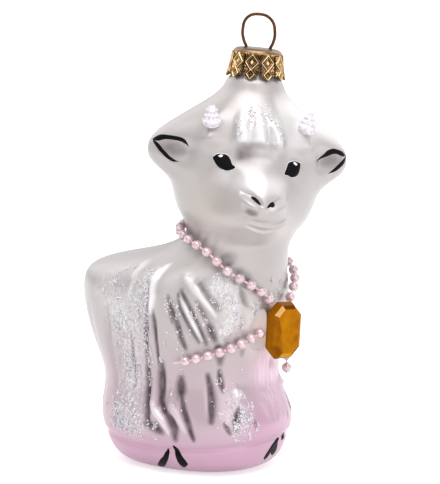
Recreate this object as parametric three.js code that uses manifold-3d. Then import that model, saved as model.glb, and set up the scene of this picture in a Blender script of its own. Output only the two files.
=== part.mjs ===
// A blown-glass goat ornament. A hollow glass goat stands on a flat foot and ends above its head in an
// open tube, the pike. A stamped cap with ten petals covers the pike, and a sprung wire hanger passes
// through the cap into the pike. Two crusted horns sit on the head. A strand of pearl beads hangs round
// the neck, with one tail along the flank and one hanging down, and an octagonal stone is glued over its knot.
// Millimetres, +Z up. The origin is the middle of the flat foot, and the goat looks towards -Y.
import * as THREE from 'three';
import Module from 'manifold-3d';
import { mergeVertices } from 'three/addons/utils/BufferGeometryUtils.js';

const wasm = await Module();
wasm.setup();

// Fits
const SEAT_GAP = 0.3;            // air between two pieces that touch

// Attitude, in degrees: azimuth 0 looks along -Y, and positive turns towards +X
const BODY_TURN = 55;            // way the chest points
const FACE_TURN = 11;            // way the face points
const LEAN = 5.4;                // lean of head and pike towards +X
const LEAN_LEVEL = 61;           // height where the lean starts

// Glass body
const FOOT_HALF_LENGTH = 14;     // flat patch that the ornament stands on
const FOOT_HALF_WIDTH = 11;
const HEM_FRONT = 24.2;          // fullest ring above the foot
const HEM_BACK = 24.6;
const HEM_HALF_WIDTH = 20.2;
const WAIST_FRONT = 19.6;        // ring where the coat is drawn in
const CHEST_FRONT = 23.2;        // chest, rump and flank at their fullest
const RUMP_BACK = 31.3;
const FLANK_HALF_WIDTH = 20.4;
const NECK_FORWARD = 13.2;       // head axis ahead of the foot's middle
const NECK_HALF_WIDTH = 12.8;
const HEAD_FRONT = 13.8;         // skull at eye level, without ears and muzzle
const HEAD_BACK = 18.4;
const HEAD_HALF_WIDTH = 18.8;
const SEAT_RADIUS = 7;           // shoulder under the cap
const SEAT_LEVEL = 96.4;
const PIKE_RADIUS = 5;
const PIKE_RIM = 104;            // height of the pike's open rim
const WALL = 1.4;                // glass wall of the body
const PIKE_WALL = 0.8;
const GLASS_SIDES = 64;          // facets round the outside

// Relief blown into the glass
const EAR_LEVEL = 79.6;
const EAR_REACH = 6.4;
const EAR_DISH = 2.2;
const MUZZLE_LEVEL = 68;
const MUZZLE_REACH = 7.4;
const EYE_LEVEL = 77.5;
const EYE_RISE = 1.3;
const LOCK_LEVEL = 86.6;
const LOCK_RISE = 2.1;
const STUB_LEVEL = 86.6;         // horn stubs
const STUB_RISE = 1.6;
const STUB_TURN = 49.5;          // degrees each side of the face
const CREASE_LEVEL = 7.6;        // crease above the hoof band
const CREASE_DEPTH = 0.5;
const CREASE_WAVE = 1.2;         // how much higher it runs at chest and rump than at the flanks
const COAT_DEPTH = 1.0;          // depth that the strokes of the coat are measured in
const TAIL_RISE = 1.6;

// Horns
const HORN_RADIUS = 2.5;
const HORN_HEIGHT = 3.8;
const HORN_ROOT = 1.4;           // skirt of the horn below its seat
const HORN_TIERS = 3;

// Cap
const CAP_SHEET = 0.4;
const CAP_SKIRT = 6.6;           // skirt below the pike's rim
const CAP_ROOM = 0.3;            // air between its skirt and the pike
const CAP_FLARE = 1.1;           // how far the petals spread
const PETALS = 10;
const CAP_TURN = -12.4;          // degrees that the petals are turned round the pike
const SLIT_WIDTH = 0.3;
const SLIT_HEIGHT = 5.2;
const NOTCH_HEIGHT = 0.8;        // pointed notch between two petal tips
const NOTCH_WIDTH = 3.4;
const STAMP_RISE = 0.35;         // lozenges stamped into the petals
const STAMP_WIDTH = 2.6;
const STAMP_HEIGHT = 3.2;
const SMALL_STAMP_WIDTH = 1.5;
const SMALL_STAMP_HEIGHT = 1.5;

// Wire hanger
const WIRE = 0.8;
const HOLE_SPACING = 5.7;
const HOLE_CLEARANCE = 0.35;
const LOOP_WIDTH = 7.9;
const LOOP_HEIGHT = 8.2;         // above the cap, to the wire's middle
const LOOP_TILT = 3.5;           // degrees that the loop stands up from the pike's lean
const LEG_LENGTH = 17;           // below the pike's rim

// Bead strand
const BEAD = 2.5;
const BEAD_BORE = 1.3;
const THREAD = 0.5;
const NECK_BEADS = 27;
const RIGHT_TAIL_BEADS = 8;
const LEFT_TAIL_BEADS = 4;
const STRAND_GAP = 0.35;         // air between the beads and the glass
const RIGHT_TAIL_END = 2.2;      // bare thread past the last bead
const LEFT_TAIL_END = 0.3;
const NECK_TUCK = 3.8;           // bare thread under the stone, on the goat's right of the neck
const NECK_TUCK_LEFT = 3.6;
const TAIL_TUCK = 3;
const LEFT_TAIL_DROP = 8.6;      // how far the left tail hangs straight down
// Routes on the glass: degrees round from the chest (negative to the goat's right), and height
const NECK_ROUTE = [
  [-5, 41.4], [-10, 44.4], [-27, 49], [-55, 53.1], [-79, 55.4], [-110, 57.6], [-150, 59.4], [-180, 60.2],
  [-210, 59.4], [-250, 57.2], [-285, 54], [-312, 50.6], [-332, 47.4], [-345, 44], [-351, 40.8],
];
const RIGHT_TAIL_ROUTE = [[-8.4, 36.9], [-17, 35.9], [-28, 33.8], [-44, 31.7], [-62, 29.8], [-71, 29]];
const LEFT_TAIL_ROUTE = [[12.4, 36.6], [16, 34.6], [19.5, 32.4]];

// Stone and its glue
const STONE_WIDTH = 10;
const STONE_HEIGHT = 14;
const STONE_CORNER = 2.8;        // length cut off each corner
const STONE_CROWN = 2;
const STONE_GIRDLE = 0.6;
const STONE_PAVILION = 2.6;
const STONE_BEVEL = 2;           // slope from girdle to table, seen from the front
const STONE_TURN = 38;           // azimuth that the stone faces
const STONE_LEAN = 4;            // degrees that its top leans to the goat's left
const STONE_AT = [21, -15, 36.1];
const GLUE_RADIUS = 3.4;

const rad = THREE.MathUtils.degToRad;
const smooth = (x, a, b) => THREE.MathUtils.smoothstep(x, a, b);

// Rings of the glass from the foot to the rim: height, forward shift, then the reach to the front, to the
// back and to each side, and how square the ring is (2 is an ellipse)
const RINGS = [
  [0, 0, FOOT_HALF_LENGTH, FOOT_HALF_LENGTH, FOOT_HALF_WIDTH, 2.2],
  [0.6, 0, 18, 18, 14.2, 2.3],
  [2.6, 0, 21.2, 21.2, 16.8, 2.4],
  [6.6, 0, 22.6, 22.8, 18.6, 2.4],
  [12, 0, HEM_FRONT, HEM_BACK, HEM_HALF_WIDTH, 2.4],
  [17, 0, 22.2, 24.2, 19.2, 2.4],
  [22.5, 0, WAIST_FRONT, 23.4, 18, 2.4],
  [29, 0, 20.8, 27, 19, 2.3],
  [36.5, 0, 22, 30, 20, 2.3],
  [44, 0, CHEST_FRONT, RUMP_BACK, FLANK_HALF_WIDTH, 2.3],
  [48.6, 0, 23.2, 30.6, 19.6, 2.2],
  [50.8, 2.4, 21.4, 28.6, 17.8, 2.1],
  [52.4, 5.4, 19, 25, 16.2, 2],
  [54, 8.6, 16, 20.6, 14.8, 2],
  [55.8, 11.4, 13.4, 17, 13.4, 2],
  [58, 13, 12.4, 13.9, NECK_HALF_WIDTH, 2],
  [60.8, NECK_FORWARD, 13.8, 13.6, 13.6, 2],
  [64, NECK_FORWARD, 15.4, 15.2, 16.2, 2],
  [68, NECK_FORWARD, 15.4, 16.6, 17.6, 2],
  [73, NECK_FORWARD, 14.8, 17.8, 18.6, 2],
  [78, NECK_FORWARD, HEAD_FRONT, HEAD_BACK, HEAD_HALF_WIDTH, 2],
  [82, NECK_FORWARD, 13.4, 17.8, 18.2, 2],
  [86, NECK_FORWARD, 12.8, 15.6, 16.2, 2],
  [89.4, NECK_FORWARD, 11.4, 12.8, 13, 2],
  [92, NECK_FORWARD, 9.2, 9.8, 9.9, 2],
  [94.4, NECK_FORWARD, 7.5, 7.7, 7.7, 2],
  [SEAT_LEVEL, NECK_FORWARD, SEAT_RADIUS, SEAT_RADIUS, SEAT_RADIUS, 2],
  [SEAT_LEVEL + 1, NECK_FORWARD, SEAT_RADIUS - 0.6, SEAT_RADIUS - 0.6, SEAT_RADIUS - 0.6, 2],
  [SEAT_LEVEL + 2, NECK_FORWARD, PIKE_RADIUS + 0.3, PIKE_RADIUS + 0.3, PIKE_RADIUS + 0.3, 2],
  [SEAT_LEVEL + 3.6, NECK_FORWARD, PIKE_RADIUS, PIKE_RADIUS, PIKE_RADIUS, 2],
  [PIKE_RIM, NECK_FORWARD, PIKE_RADIUS, PIKE_RADIUS, PIKE_RADIUS, 2],
];

// A cubic B-spline through the rings keeps the glass smooth from one to the next
function ringAt(t) {
  const last = RINGS.length - 1;
  const i = Math.min(Math.floor(t), last - 1);
  const u = t - i;
  const row = (k) => {
    if (k < 0) return RINGS[0].map((v, c) => 2 * v - RINGS[1][c]);
    if (k > last) return RINGS[last].map((v, c) => 2 * v - RINGS[last - 1][c]);
    return RINGS[k];
  };
  const weight = [
    (1 - u) ** 3 / 6,
    (3 * u ** 3 - 6 * u ** 2 + 4) / 6,
    (-3 * u ** 3 + 3 * u ** 2 + 3 * u + 1) / 6,
    u ** 3 / 6,
  ];
  const rows = [row(i - 1), row(i), row(i + 1), row(i + 2)];
  return RINGS[0].map((_, c) => rows.reduce((sum, r, k) => sum + weight[k] * r[c], 0));
}

// Ring at a height, found by halving
function ringAtHeight(height) {
  let low = 0;
  let high = RINGS.length - 1;
  for (let k = 0; k < 40; k += 1) {
    const mid = (low + high) / 2;
    if (ringAt(mid)[0] < height) low = mid;
    else high = mid;
  }
  return ringAt((low + high) / 2);
}

const wrap = (deg) => ((((deg + 180) % 360) + 360) % 360) - 180;
const hill = (x, x0, wx, y, y0, wy) => Math.exp(-(((x - x0) / wx) ** 2) - ((y - y0) / wy) ** 2);

// Share of the muzzle's reach by height above its level: chin, lips, nose and bridge
const MUZZLE_PROFILE = [
  [-12, 0], [-9.5, 0.08], [-7.5, 0.35], [-6, 0.59], [-4, 0.82], [-2, 0.93],
  [0, 1], [1.6, 0.96], [4, 0.7], [7, 0.4], [10, 0.16], [12, 0.03], [15, 0],
];

function profile(points, x) {
  if (x <= points[0][0]) return points[0][1];
  for (let i = 1; i < points.length; i += 1) {
    const [x0, y0] = points[i - 1];
    const [x1, y1] = points[i];
    if (x <= x1) return y0 + (y1 - y0) * smooth(x, x0, x1);
  }
  return points[points.length - 1][1];
}

// Closeness to a straight stroke: 1 on it, fading over its width
function stroke(x, y, from, to, width) {
  const dx = to[0] - from[0];
  const dy = to[1] - from[1];
  const along = ((x - from[0]) * dx + (y - from[1]) * dy) / (dx * dx + dy * dy);
  const t = THREE.MathUtils.clamp(along, 0, 1);
  return Math.exp(-((x - from[0] - t * dx) ** 2 + (y - from[1] - t * dy) ** 2) / width ** 2);
}

// Ears and muzzle, which the inside of the glass follows too
function broadRelief(azimuth, height) {
  const f = wrap(azimuth - FACE_TURN);
  const side = Math.abs(f);
  const d = height - EAR_LEVEL;
  const leaf = d > 0 ? Math.exp(-((d / 7.7) ** 2)) : Math.exp(-((-d / 6.6) ** 3.2));
  const ear = EAR_REACH * leaf * Math.exp(-(((side - 90) / 21) ** 2));
  const spread = 22 + 7 * (1 - smooth(height, 62, 70));
  const muzzle = MUZZLE_REACH * profile(MUZZLE_PROFILE, height - MUZZLE_LEVEL) * Math.exp(-((f / spread) ** 2));
  return (ear + muzzle) * smooth(height, 56, 59);
}

// Inner ears, eyes, brows, three locks of hair, horn stubs, smile and nostrils
function faceRelief(azimuth, height) {
  const f = wrap(azimuth - FACE_TURN);
  const side = Math.abs(f);
  let r = -EAR_DISH * hill(side, 70, 8.5, height, EAR_LEVEL - 0.6, 3.2);
  r -= 1.2 * hill(side, 33, 10, height, EYE_LEVEL + 1, 4.2);
  r += EYE_RISE * hill(side, 34, 8, height, EYE_LEVEL, 2.9);
  r += 0.9 * hill(side, 42, 12, height, EYE_LEVEL + 5, 2.2);
  for (const lock of [-20, -2, 16]) {
    const h = height - LOCK_LEVEL;
    const ends = h > 0 ? (h / 4.6) ** 2 : (-h / 3.4) ** 4;
    r += LOCK_RISE * Math.exp(-((Math.abs(f - lock) / 9) ** 2.6) - ends);
  }
  r += STUB_RISE * hill(side, STUB_TURN, 8, height, STUB_LEVEL, 2.6);
  const smile = 0.0065 * f * f;
  r -= 0.55 * Math.exp(-(((height - MUZZLE_LEVEL + 5.1 - smile) / 0.8) ** 2) - (f / 21) ** 4);
  r -= 0.35 * Math.exp(-(((height - MUZZLE_LEVEL + 3.1 - smile) / 0.7) ** 2) - (f / 20) ** 4);
  r -= 0.8 * stroke(side, height, [1.5, MUZZLE_LEVEL + 0.9], [13, MUZZLE_LEVEL + 3.2], 1.3);
  r += 0.8 * hill(side, 10, 6, height, MUZZLE_LEVEL + 0.2, 1.4);
  return r * smooth(height, 56, 59);
}

// Locks of the long coat fall from a parting on each flank. Each stroke is a groove (depth below zero) or a
// ridge, with its width and its course: degrees round from the chest, the same on both flanks, and height.
const COAT = [
  [-0.9, 1.7, [[92, 40.5], [94, 35], [95.5, 27], [95.7, 18], [90, 13.5], [82, 11.5]]],
  [-0.8, 1.7, [[86, 40.5], [85, 29], [84.6, 20], [77, 15.6], [70, 11]]],
  [-0.9, 1.8, [[75.6, 45], [70, 37.5], [63, 33]]],
  [-0.8, 1.8, [[67, 46], [56.5, 38], [48.5, 33.6]]],
  [-0.7, 1.8, [[53, 42.3], [41.5, 36.5], [27, 37]]],
  [-0.9, 1.8, [[68, 25], [66.6, 20], [60.5, 13.3], [57.5, 10.6]]],
  [-0.8, 1.8, [[42, 26], [45, 20.6], [46, 15]]],
  [-0.6, 1.8, [[27, 20], [30, 13]]],
  [-0.7, 1.9, [[107, 40], [109.5, 30], [108, 18]]],
  [-0.6, 2, [[125, 41], [129, 32], [127, 20]]],
  [-0.5, 2, [[146, 40], [149, 28], [146, 16]]],
  [0.5, 1.8, [[101, 51.5], [88.5, 47.5], [87.5, 41.5]]],
  [0.5, 1.8, [[92, 52.5], [71, 49.5], [56, 46], [43, 41]]],
  [0.4, 1.8, [[64, 44], [59.5, 40.5], [53, 36.5]]],
];
const FLANK_ARC = 0.4;           // millimetres of flank for each degree

// Share of a stroke at a place: the closest of its straight pieces counts
function course(round, height, route, width) {
  let share = 0;
  for (let i = 1; i < route.length; i += 1) {
    const [from, to] = [route[i - 1], route[i]].map(([degrees, h]) => [degrees * FLANK_ARC, h]);
    share = Math.max(share, stroke(round * FLANK_ARC, height, from, to, width));
  }
  return share;
}

function coatRelief(azimuth, height) {
  const b = wrap(azimuth - BODY_TURN);
  const round = Math.abs(b);
  let r = 0;
  for (const [depth, width, route] of COAT) r += COAT_DEPTH * depth * course(round, height, route, width);
  const low = smooth(height, 5, 9);
  r += 0.9 * hill(round, 102, 13, height, 13.5, 6) * low;
  r += 0.7 * hill(round, 40, 14, height, 15, 7) * low;
  r += TAIL_RISE * hill(round, 180, 9, height, 40, 6.5);
  const crease = CREASE_LEVEL + CREASE_WAVE * Math.cos(rad(2 * b));
  r -= CREASE_DEPTH * Math.exp(-(((height - crease) / 0.9) ** 2));
  return r * (1 - smooth(height, 52, 56));
}

// A point on the glass, with all its relief or only the broad part
function glassPoint(azimuth, height, fine = true) {
  const [z, shift, front, back, side, square] = ringAtHeight(height);
  const turn = BODY_TURN + (FACE_TURN - BODY_TURN) * smooth(height, 56, 62);
  const a = rad(azimuth - turn);
  const reach = Math.cos(a) > 0 ? front : back;
  const ring = Math.abs(Math.cos(a) / reach) ** square + Math.abs(Math.sin(a) / side) ** square;
  let r = ring ** (-1 / square) + broadRelief(azimuth, height);
  if (fine) r += faceRelief(azimuth, height) + coatRelief(azimuth, height);
  const lean = rad(LEAN) * smooth(height, LEAN_LEVEL - 7, LEAN_LEVEL + 3);
  const x = r * Math.sin(rad(azimuth));
  const y = -r * Math.cos(rad(azimuth));
  const over = Math.tan(rad(LEAN)) * Math.max(height - LEAN_LEVEL, 0);
  return new THREE.Vector3(
    shift * Math.sin(rad(BODY_TURN)) + over + x * Math.cos(lean),
    -shift * Math.cos(rad(BODY_TURN)) + y,
    z - x * Math.sin(lean),
  );
}

function glassNormal(azimuth, height, fine = true) {
  const low = Math.max(height - 0.2, 0);
  const high = Math.min(height + 0.2, PIKE_RIM);
  const across = glassPoint(azimuth + 0.6, height, fine).sub(glassPoint(azimuth - 0.6, height, fine));
  const up = glassPoint(azimuth, high, fine).sub(glassPoint(azimuth, low, fine));
  return across.cross(up).normalize();
}

// Sides are closer together towards the face and the flank beside it
const sideAngle = (i, sides) => {
  const u = (360 * i) / sides;
  return u - THREE.MathUtils.radToDeg(0.25 * Math.sin(rad(u)));
};

// Heights from one level to another in equal steps, without the last
const steps = (from, to, count) => Array.from({ length: count }, (_, i) => from + ((to - from) * i) / count);

const OUTER_HEIGHTS = [
  ...steps(0, 1.2, 2), ...steps(1.2, 48, 16), ...steps(48, 54, 4), ...steps(54, 62, 8), ...steps(62, 92, 19),
  ...steps(92, SEAT_LEVEL + 3, 5), ...steps(SEAT_LEVEL + 3, PIKE_RIM, 2), PIKE_RIM,
];
const INNER_HEIGHTS = [
  ...steps(2.2, 48, 7), ...steps(48, 64, 10), ...steps(64, 92, 7), ...steps(92, PIKE_RIM, 3), PIKE_RIM,
];

function geometryOf(points, faces) {
  const geometry = new THREE.BufferGeometry();
  geometry.setAttribute('position', new THREE.Float32BufferAttribute(points.flatMap((p) => [p.x, p.y, p.z]), 3));
  geometry.setIndex(faces.flat());
  return geometry;
}

// Bands of triangles between rings of equal count, each ring listed from below. Each quad is split along
// the diagonal that lies closer to the middle of its own surface, so creases run true.
function bands(points, faces, first, heights, sides, middle, outward) {
  for (let k = 0; k < heights.length - 1; k += 1) {
    for (let i = 0; i < sides; i += 1) {
      const a = first + k * sides + i;
      const b = first + k * sides + ((i + 1) % sides);
      const c = b + sides;
      const d = a + sides;
      const heart = middle((i + 0.5), (heights[k] + heights[k + 1]) / 2);
      const miss = (p, q) => points[p].clone().add(points[q]).divideScalar(2).distanceTo(heart);
      const quad = miss(a, c) < miss(b, d) ? [[a, b, c], [a, c, d]] : [[a, b, d], [b, c, d]];
      faces.push(...quad.map((t) => (outward ? t : t.reverse())));
    }
  }
}

// The flat foot: a triangle in its middle, with triangles from its corners out to the first ring
function footFaces(points, faces) {
  const starts = [0, 1, 2].map((k) => Math.round((GLASS_SIDES * k) / 3));
  const corners = starts.map((start) => {
    const outer = points[(start + Math.round(GLASS_SIDES / 6)) % GLASS_SIDES];
    return points.push(outer.clone().multiplyScalar(0.4)) - 1;
  });
  faces.push([corners[2], corners[1], corners[0]]);
  for (let k = 0; k < 3; k += 1) {
    const next = (k + 1) % 3;
    const end = k === 2 ? GLASS_SIDES : starts[next];
    for (let i = starts[k]; i < end; i += 1) faces.push([corners[k], (i + 1) % GLASS_SIDES, i]);
    faces.push([corners[k], corners[next], starts[next]]);
  }
}

// The hollow glass: outer wall, flat foot, rim and an inner wall that is deeper behind the dished ears
function glassBody() {
  const points = [];
  const faces = [];
  for (const h of OUTER_HEIGHTS) {
    for (let i = 0; i < GLASS_SIDES; i += 1) points.push(glassPoint(sideAngle(i, GLASS_SIDES), h));
  }
  const outside = (i, h) => glassPoint(sideAngle(i, GLASS_SIDES), h);
  bands(points, faces, 0, OUTER_HEIGHTS, GLASS_SIDES, outside, true);
  footFaces(points, faces);
  const inside = GLASS_SIDES / 2;
  const innerPoint = (i, h) => {
    const side = Math.abs(wrap(sideAngle(i, inside) - FACE_TURN));
    const behindEar = EAR_DISH * hill(side, 70, 18, h, EAR_LEVEL - 0.6, 7);
    const wall = WALL + behindEar + (PIKE_WALL - WALL) * smooth(h, 90, SEAT_LEVEL + 3);
    const normal = glassNormal(sideAngle(i, inside), h, false);
    if (h === PIKE_RIM) normal.setZ(0).normalize();
    return glassPoint(sideAngle(i, inside), h, false).addScaledVector(normal, -wall);
  };
  const first = points.length;
  for (const h of INNER_HEIGHTS) {
    for (let i = 0; i < inside; i += 1) points.push(innerPoint(i, h));
  }
  bands(points, faces, first, INNER_HEIGHTS, inside, innerPoint, false);
  const floor = points.push(new THREE.Vector3(0, 0, points[first].z)) - 1;
  for (let i = 0; i < inside; i += 1) faces.push([floor, first + i, first + ((i + 1) % inside)]);
  const rimOut = (OUTER_HEIGHTS.length - 1) * GLASS_SIDES;
  const rimIn = first + (INNER_HEIGHTS.length - 1) * inside;
  for (let i = 0; i < inside; i += 1) {
    const a = rimOut + 2 * i;
    const b = a + 1;
    const c = rimOut + ((2 * i + 2) % GLASS_SIDES);
    const d = rimIn + i;
    const e = rimIn + ((i + 1) % inside);
    faces.push([a, b, d], [b, e, d], [b, c, e]);
  }
  return geometryOf(points, faces);
}

// The outside of the glass grown by a gap, as a solid that cuts seats into what rests on it
function glassCutter(gap) {
  const points = [];
  const faces = [];
  for (const h of OUTER_HEIGHTS) {
    for (let i = 0; i < GLASS_SIDES; i += 1) {
      const angle = sideAngle(i, GLASS_SIDES);
      points.push(glassPoint(angle, h).addScaledVector(glassNormal(angle, h), gap));
    }
  }
  const outside = (i, h) => glassPoint(sideAngle(i, GLASS_SIDES), h);
  bands(points, faces, 0, OUTER_HEIGHTS, GLASS_SIDES, outside, true);
  const middle = (from) => points.slice(from, from + GLASS_SIDES)
    .reduce((sum, p) => sum.add(p), new THREE.Vector3()).divideScalar(GLASS_SIDES);
  const top = (OUTER_HEIGHTS.length - 1) * GLASS_SIDES;
  const under = points.push(middle(0)) - 1;
  const over = points.push(middle(top)) - 1;
  for (let i = 0; i < GLASS_SIDES; i += 1) {
    const next = (i + 1) % GLASS_SIDES;
    faces.push([under, next, i], [over, top + i, top + next]);
  }
  return solidOf(geometryOf(points, faces));
}

function solidOf(geometry, matrix) {
  let g = geometry.clone();
  if (matrix) g.applyMatrix4(matrix);
  g.deleteAttribute('normal');
  g.deleteAttribute('uv');
  g = mergeVertices(g, 1e-5);
  const index = Uint32Array.from(g.index.array);
  return new wasm.Manifold(new wasm.Mesh({
    numProp: 3, vertProperties: Float32Array.from(g.attributes.position.array), triVerts: index,
  }));
}

function geometryFrom(solid) {
  const mesh = solid.getMesh();
  const geometry = new THREE.BufferGeometry();
  const positions = new Float32Array((mesh.vertProperties.length / mesh.numProp) * 3);
  for (let i = 0; i < positions.length / 3; i += 1) {
    for (let k = 0; k < 3; k += 1) positions[3 * i + k] = mesh.vertProperties[i * mesh.numProp + k];
  }
  geometry.setAttribute('position', new THREE.BufferAttribute(positions, 3));
  geometry.setIndex(new THREE.BufferAttribute(Uint32Array.from(mesh.triVerts), 1));
  return geometry;
}

// A lathe turned so that its axis is Z
function turned(profilePoints, sides) {
  const outline = profilePoints.map(([r, z]) => new THREE.Vector2(r, z));
  return new THREE.LatheGeometry(outline, sides).rotateX(Math.PI / 2);
}

// A round tube along a curve, with flat ends
function tube(curve, diameter, sides, count) {
  const round = new THREE.Shape();
  for (let i = 0; i < sides; i += 1) {
    const a = (2 * Math.PI * i) / sides;
    const x = (diameter / 2) * Math.cos(a);
    const y = (diameter / 2) * Math.sin(a);
    if (i === 0) round.moveTo(x, y);
    else round.lineTo(x, y);
  }
  round.closePath();
  return new THREE.ExtrudeGeometry(round, { steps: count, extrudePath: curve, bevelEnabled: false });
}

const ornament = new THREE.Group();
const piece = (name, geometry, material, parent = ornament) => {
  const mesh = new THREE.Mesh(geometry, material);
  mesh.name = name;
  parent.add(mesh);
  return mesh;
};
const material = (color, roughness, metalness) => new THREE.MeshStandardMaterial({ color, roughness, metalness });
const PEARL_GLASS = material(0xe9e6e4, 0.35, 0.2);
const GOLD = material(0xb08a52, 0.35, 0.9);
const COPPER = material(0x7a4a38, 0.4, 0.9);
const CRUST = material(0xeee9ee, 0.7, 0);
const PINK_PEARL = material(0xe8c6ca, 0.25, 0.1);
const PINK_THREAD = material(0xe9c3c8, 0.8, 0);
const AMBER = material(0xb5740f, 0.1, 0);
const GLUE = material(0xe6dccb, 0.4, 0);

piece('glass_body', glassBody(), PEARL_GLASS);

// Cap and hanger share a frame on the pike: its origin is the middle of the rim, and Z runs up the axis
const crown = new THREE.Group();
const rimShift = Math.tan(rad(LEAN)) * (PIKE_RIM - LEAN_LEVEL);
crown.position.set(
  NECK_FORWARD * Math.sin(rad(BODY_TURN)) + rimShift,
  -NECK_FORWARD * Math.cos(rad(BODY_TURN)),
  PIKE_RIM,
);
crown.rotation.y = rad(LEAN);
ornament.add(crown);

// Stamped cap: a thin turned crown, slit into petals, with lozenges raised on each petal
const capInside = PIKE_RADIUS + SEAT_GAP + CAP_ROOM;
const capOutside = capInside + CAP_SHEET;
const capUnder = SEAT_GAP + 0.05;
const capTop = capUnder + CAP_SHEET;
const flareAt = (z) => CAP_FLARE * Math.min(Math.max(-z / CAP_SKIRT, 0), 1) ** 1.5;

function cap() {
  const levels = [-2, -4.4, -CAP_SKIRT];
  const outer = levels.map((z) => [capOutside + flareAt(z), z]);
  const inner = levels.map((z) => [capInside + flareAt(z), z]).reverse();
  const outline = [
    [0, capTop], [capOutside - 0.6, capTop], [capOutside, capTop - 0.5],
    ...outer, ...inner, [capInside, capUnder - 0.3], [capInside - 0.25, capUnder], [0, capUnder],
  ].reverse();
  let solid = solidOf(turned(outline, PETALS * 4).rotateZ(rad(CAP_TURN)));
  const lozenge = (width, height, z) => {
    const shape = new THREE.ConeGeometry(1, STAMP_RISE + CAP_SHEET / 2, 4).rotateX(Math.PI / 2);
    shape.scale(width / 2, height / 2, 1).translate(0, 0, STAMP_RISE / 2 - CAP_SHEET / 4);
    const slope = Math.atan((flareAt(z - 0.5) - flareAt(z + 0.5)));
    const tilt = new THREE.Matrix4().makeRotationX(Math.PI / 2 + slope);
    const out = new THREE.Matrix4().makeTranslation(0, -(capOutside + flareAt(z)), z);
    return { shape, matrix: out.multiply(tilt) };
  };
  const stamps = [
    lozenge(STAMP_WIDTH, STAMP_HEIGHT, -2.4),
    lozenge(SMALL_STAMP_WIDTH, SMALL_STAMP_HEIGHT, -5.1),
  ];
  const slit = new THREE.Shape();
  slit.moveTo(-SLIT_WIDTH / 2, SLIT_HEIGHT);
  slit.lineTo(-SLIT_WIDTH / 2, NOTCH_HEIGHT);
  slit.lineTo(-NOTCH_WIDTH / 2, -0.5);
  slit.lineTo(NOTCH_WIDTH / 2, -0.5);
  slit.lineTo(SLIT_WIDTH / 2, NOTCH_HEIGHT);
  slit.lineTo(SLIT_WIDTH / 2, SLIT_HEIGHT);
  slit.closePath();
  const blade = new THREE.ExtrudeGeometry(slit, { depth: 6, bevelEnabled: false }).rotateX(Math.PI / 2);
  for (let i = 0; i < PETALS; i += 1) {
    const turn = new THREE.Matrix4().makeRotationZ(rad(CAP_TURN) + (2 * Math.PI * i) / PETALS);
    for (const { shape, matrix } of stamps) solid = solid.add(solidOf(shape, turn.clone().multiply(matrix)));
    const between = new THREE.Matrix4().makeRotationZ(rad(CAP_TURN) + (2 * Math.PI * (i + 0.5)) / PETALS);
    const place = new THREE.Matrix4().makeTranslation(0, -(PIKE_RADIUS - 1), -CAP_SKIRT);
    solid = solid.subtract(solidOf(blade, between.multiply(place)));
  }
  const hole = new THREE.CylinderGeometry(WIRE / 2 + HOLE_CLEARANCE, WIRE / 2 + HOLE_CLEARANCE, 4, 16);
  hole.rotateX(Math.PI / 2);
  for (const side of [-1, 1]) {
    const at = new THREE.Matrix4().makeTranslation((side * HOLE_SPACING) / 2, 0, capUnder);
    solid = solid.subtract(solidOf(hole, at));
  }
  return geometryFrom(solid);
}
piece('cap', cap(), GOLD, crown);

// Wire hanger: an oval loop above the cap and two legs that spring towards the wall of the pike
function hanger() {
  const leg = PIKE_RADIUS - PIKE_WALL - WIRE / 2 - SEAT_GAP;
  const hole = HOLE_SPACING / 2;
  const wide = LOOP_WIDTH / 2;
  const half = [
    [leg, -LEG_LENGTH], [leg, -LEG_LENGTH * 0.6], [(leg + hole) / 2, -LEG_LENGTH * 0.25],
    [hole, capUnder + CAP_SHEET / 2], [hole + (wide - hole) * 0.7, capTop + LOOP_HEIGHT * 0.2],
    [wide, capTop + LOOP_HEIGHT * 0.48], [wide * 0.74, capTop + LOOP_HEIGHT * 0.87],
  ];
  const bend = (z) => -Math.tan(rad(LOOP_TILT)) * Math.max(z - capTop, 0);
  const points = [
    ...half.map(([x, z]) => new THREE.Vector3(bend(z) - x, 0, z)),
    new THREE.Vector3(bend(capTop + LOOP_HEIGHT), 0, capTop + LOOP_HEIGHT),
    ...half.reverse().map(([x, z]) => new THREE.Vector3(bend(z) + x, 0, z)),
  ];
  return tube(new THREE.CatmullRomCurve3(points), WIRE, 8, 44);
}
piece('hanger_wire', hanger(), COPPER, crown);

// Horns: ridged cones of glitter paste, seated on the glass stubs
const seatCutter = glassCutter(SEAT_GAP + 0.1);

function horn(side) {
  const tier = HORN_HEIGHT / (HORN_TIERS + 0.2);
  const outline = [[0, -HORN_ROOT], [HORN_RADIUS * 0.9, -HORN_ROOT]];
  for (let k = 0; k < HORN_TIERS; k += 1) {
    const wide = HORN_RADIUS * (1 - (0.62 * k) / HORN_TIERS);
    outline.push([wide, (k + 0.25) * tier], [wide - HORN_RADIUS * 0.24, k * tier + tier * 0.95]);
  }
  outline.push([HORN_RADIUS * 0.22, HORN_HEIGHT], [0, HORN_HEIGHT]);
  const azimuth = FACE_TURN + side * STUB_TURN;
  const seat = glassPoint(azimuth, STUB_LEVEL);
  const out = new THREE.Vector3(Math.sin(rad(azimuth)), -Math.cos(rad(azimuth)), 0);
  const axis = new THREE.Vector3(Math.sin(rad(LEAN)), 0, Math.cos(rad(LEAN))).addScaledVector(out, 0.18).normalize();
  const turn = new THREE.Quaternion().setFromUnitVectors(new THREE.Vector3(0, 0, 1), axis);
  const root = seat.addScaledVector(out, -0.2).addScaledVector(axis, 0.4);
  const matrix = new THREE.Matrix4().compose(root, turn, new THREE.Vector3(1, 1, 1));
  return geometryFrom(solidOf(turned(outline, 12), matrix).subtract(seatCutter));
}
piece('horn_right', horn(-1), CRUST);
piece('horn_left', horn(1), CRUST);

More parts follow.
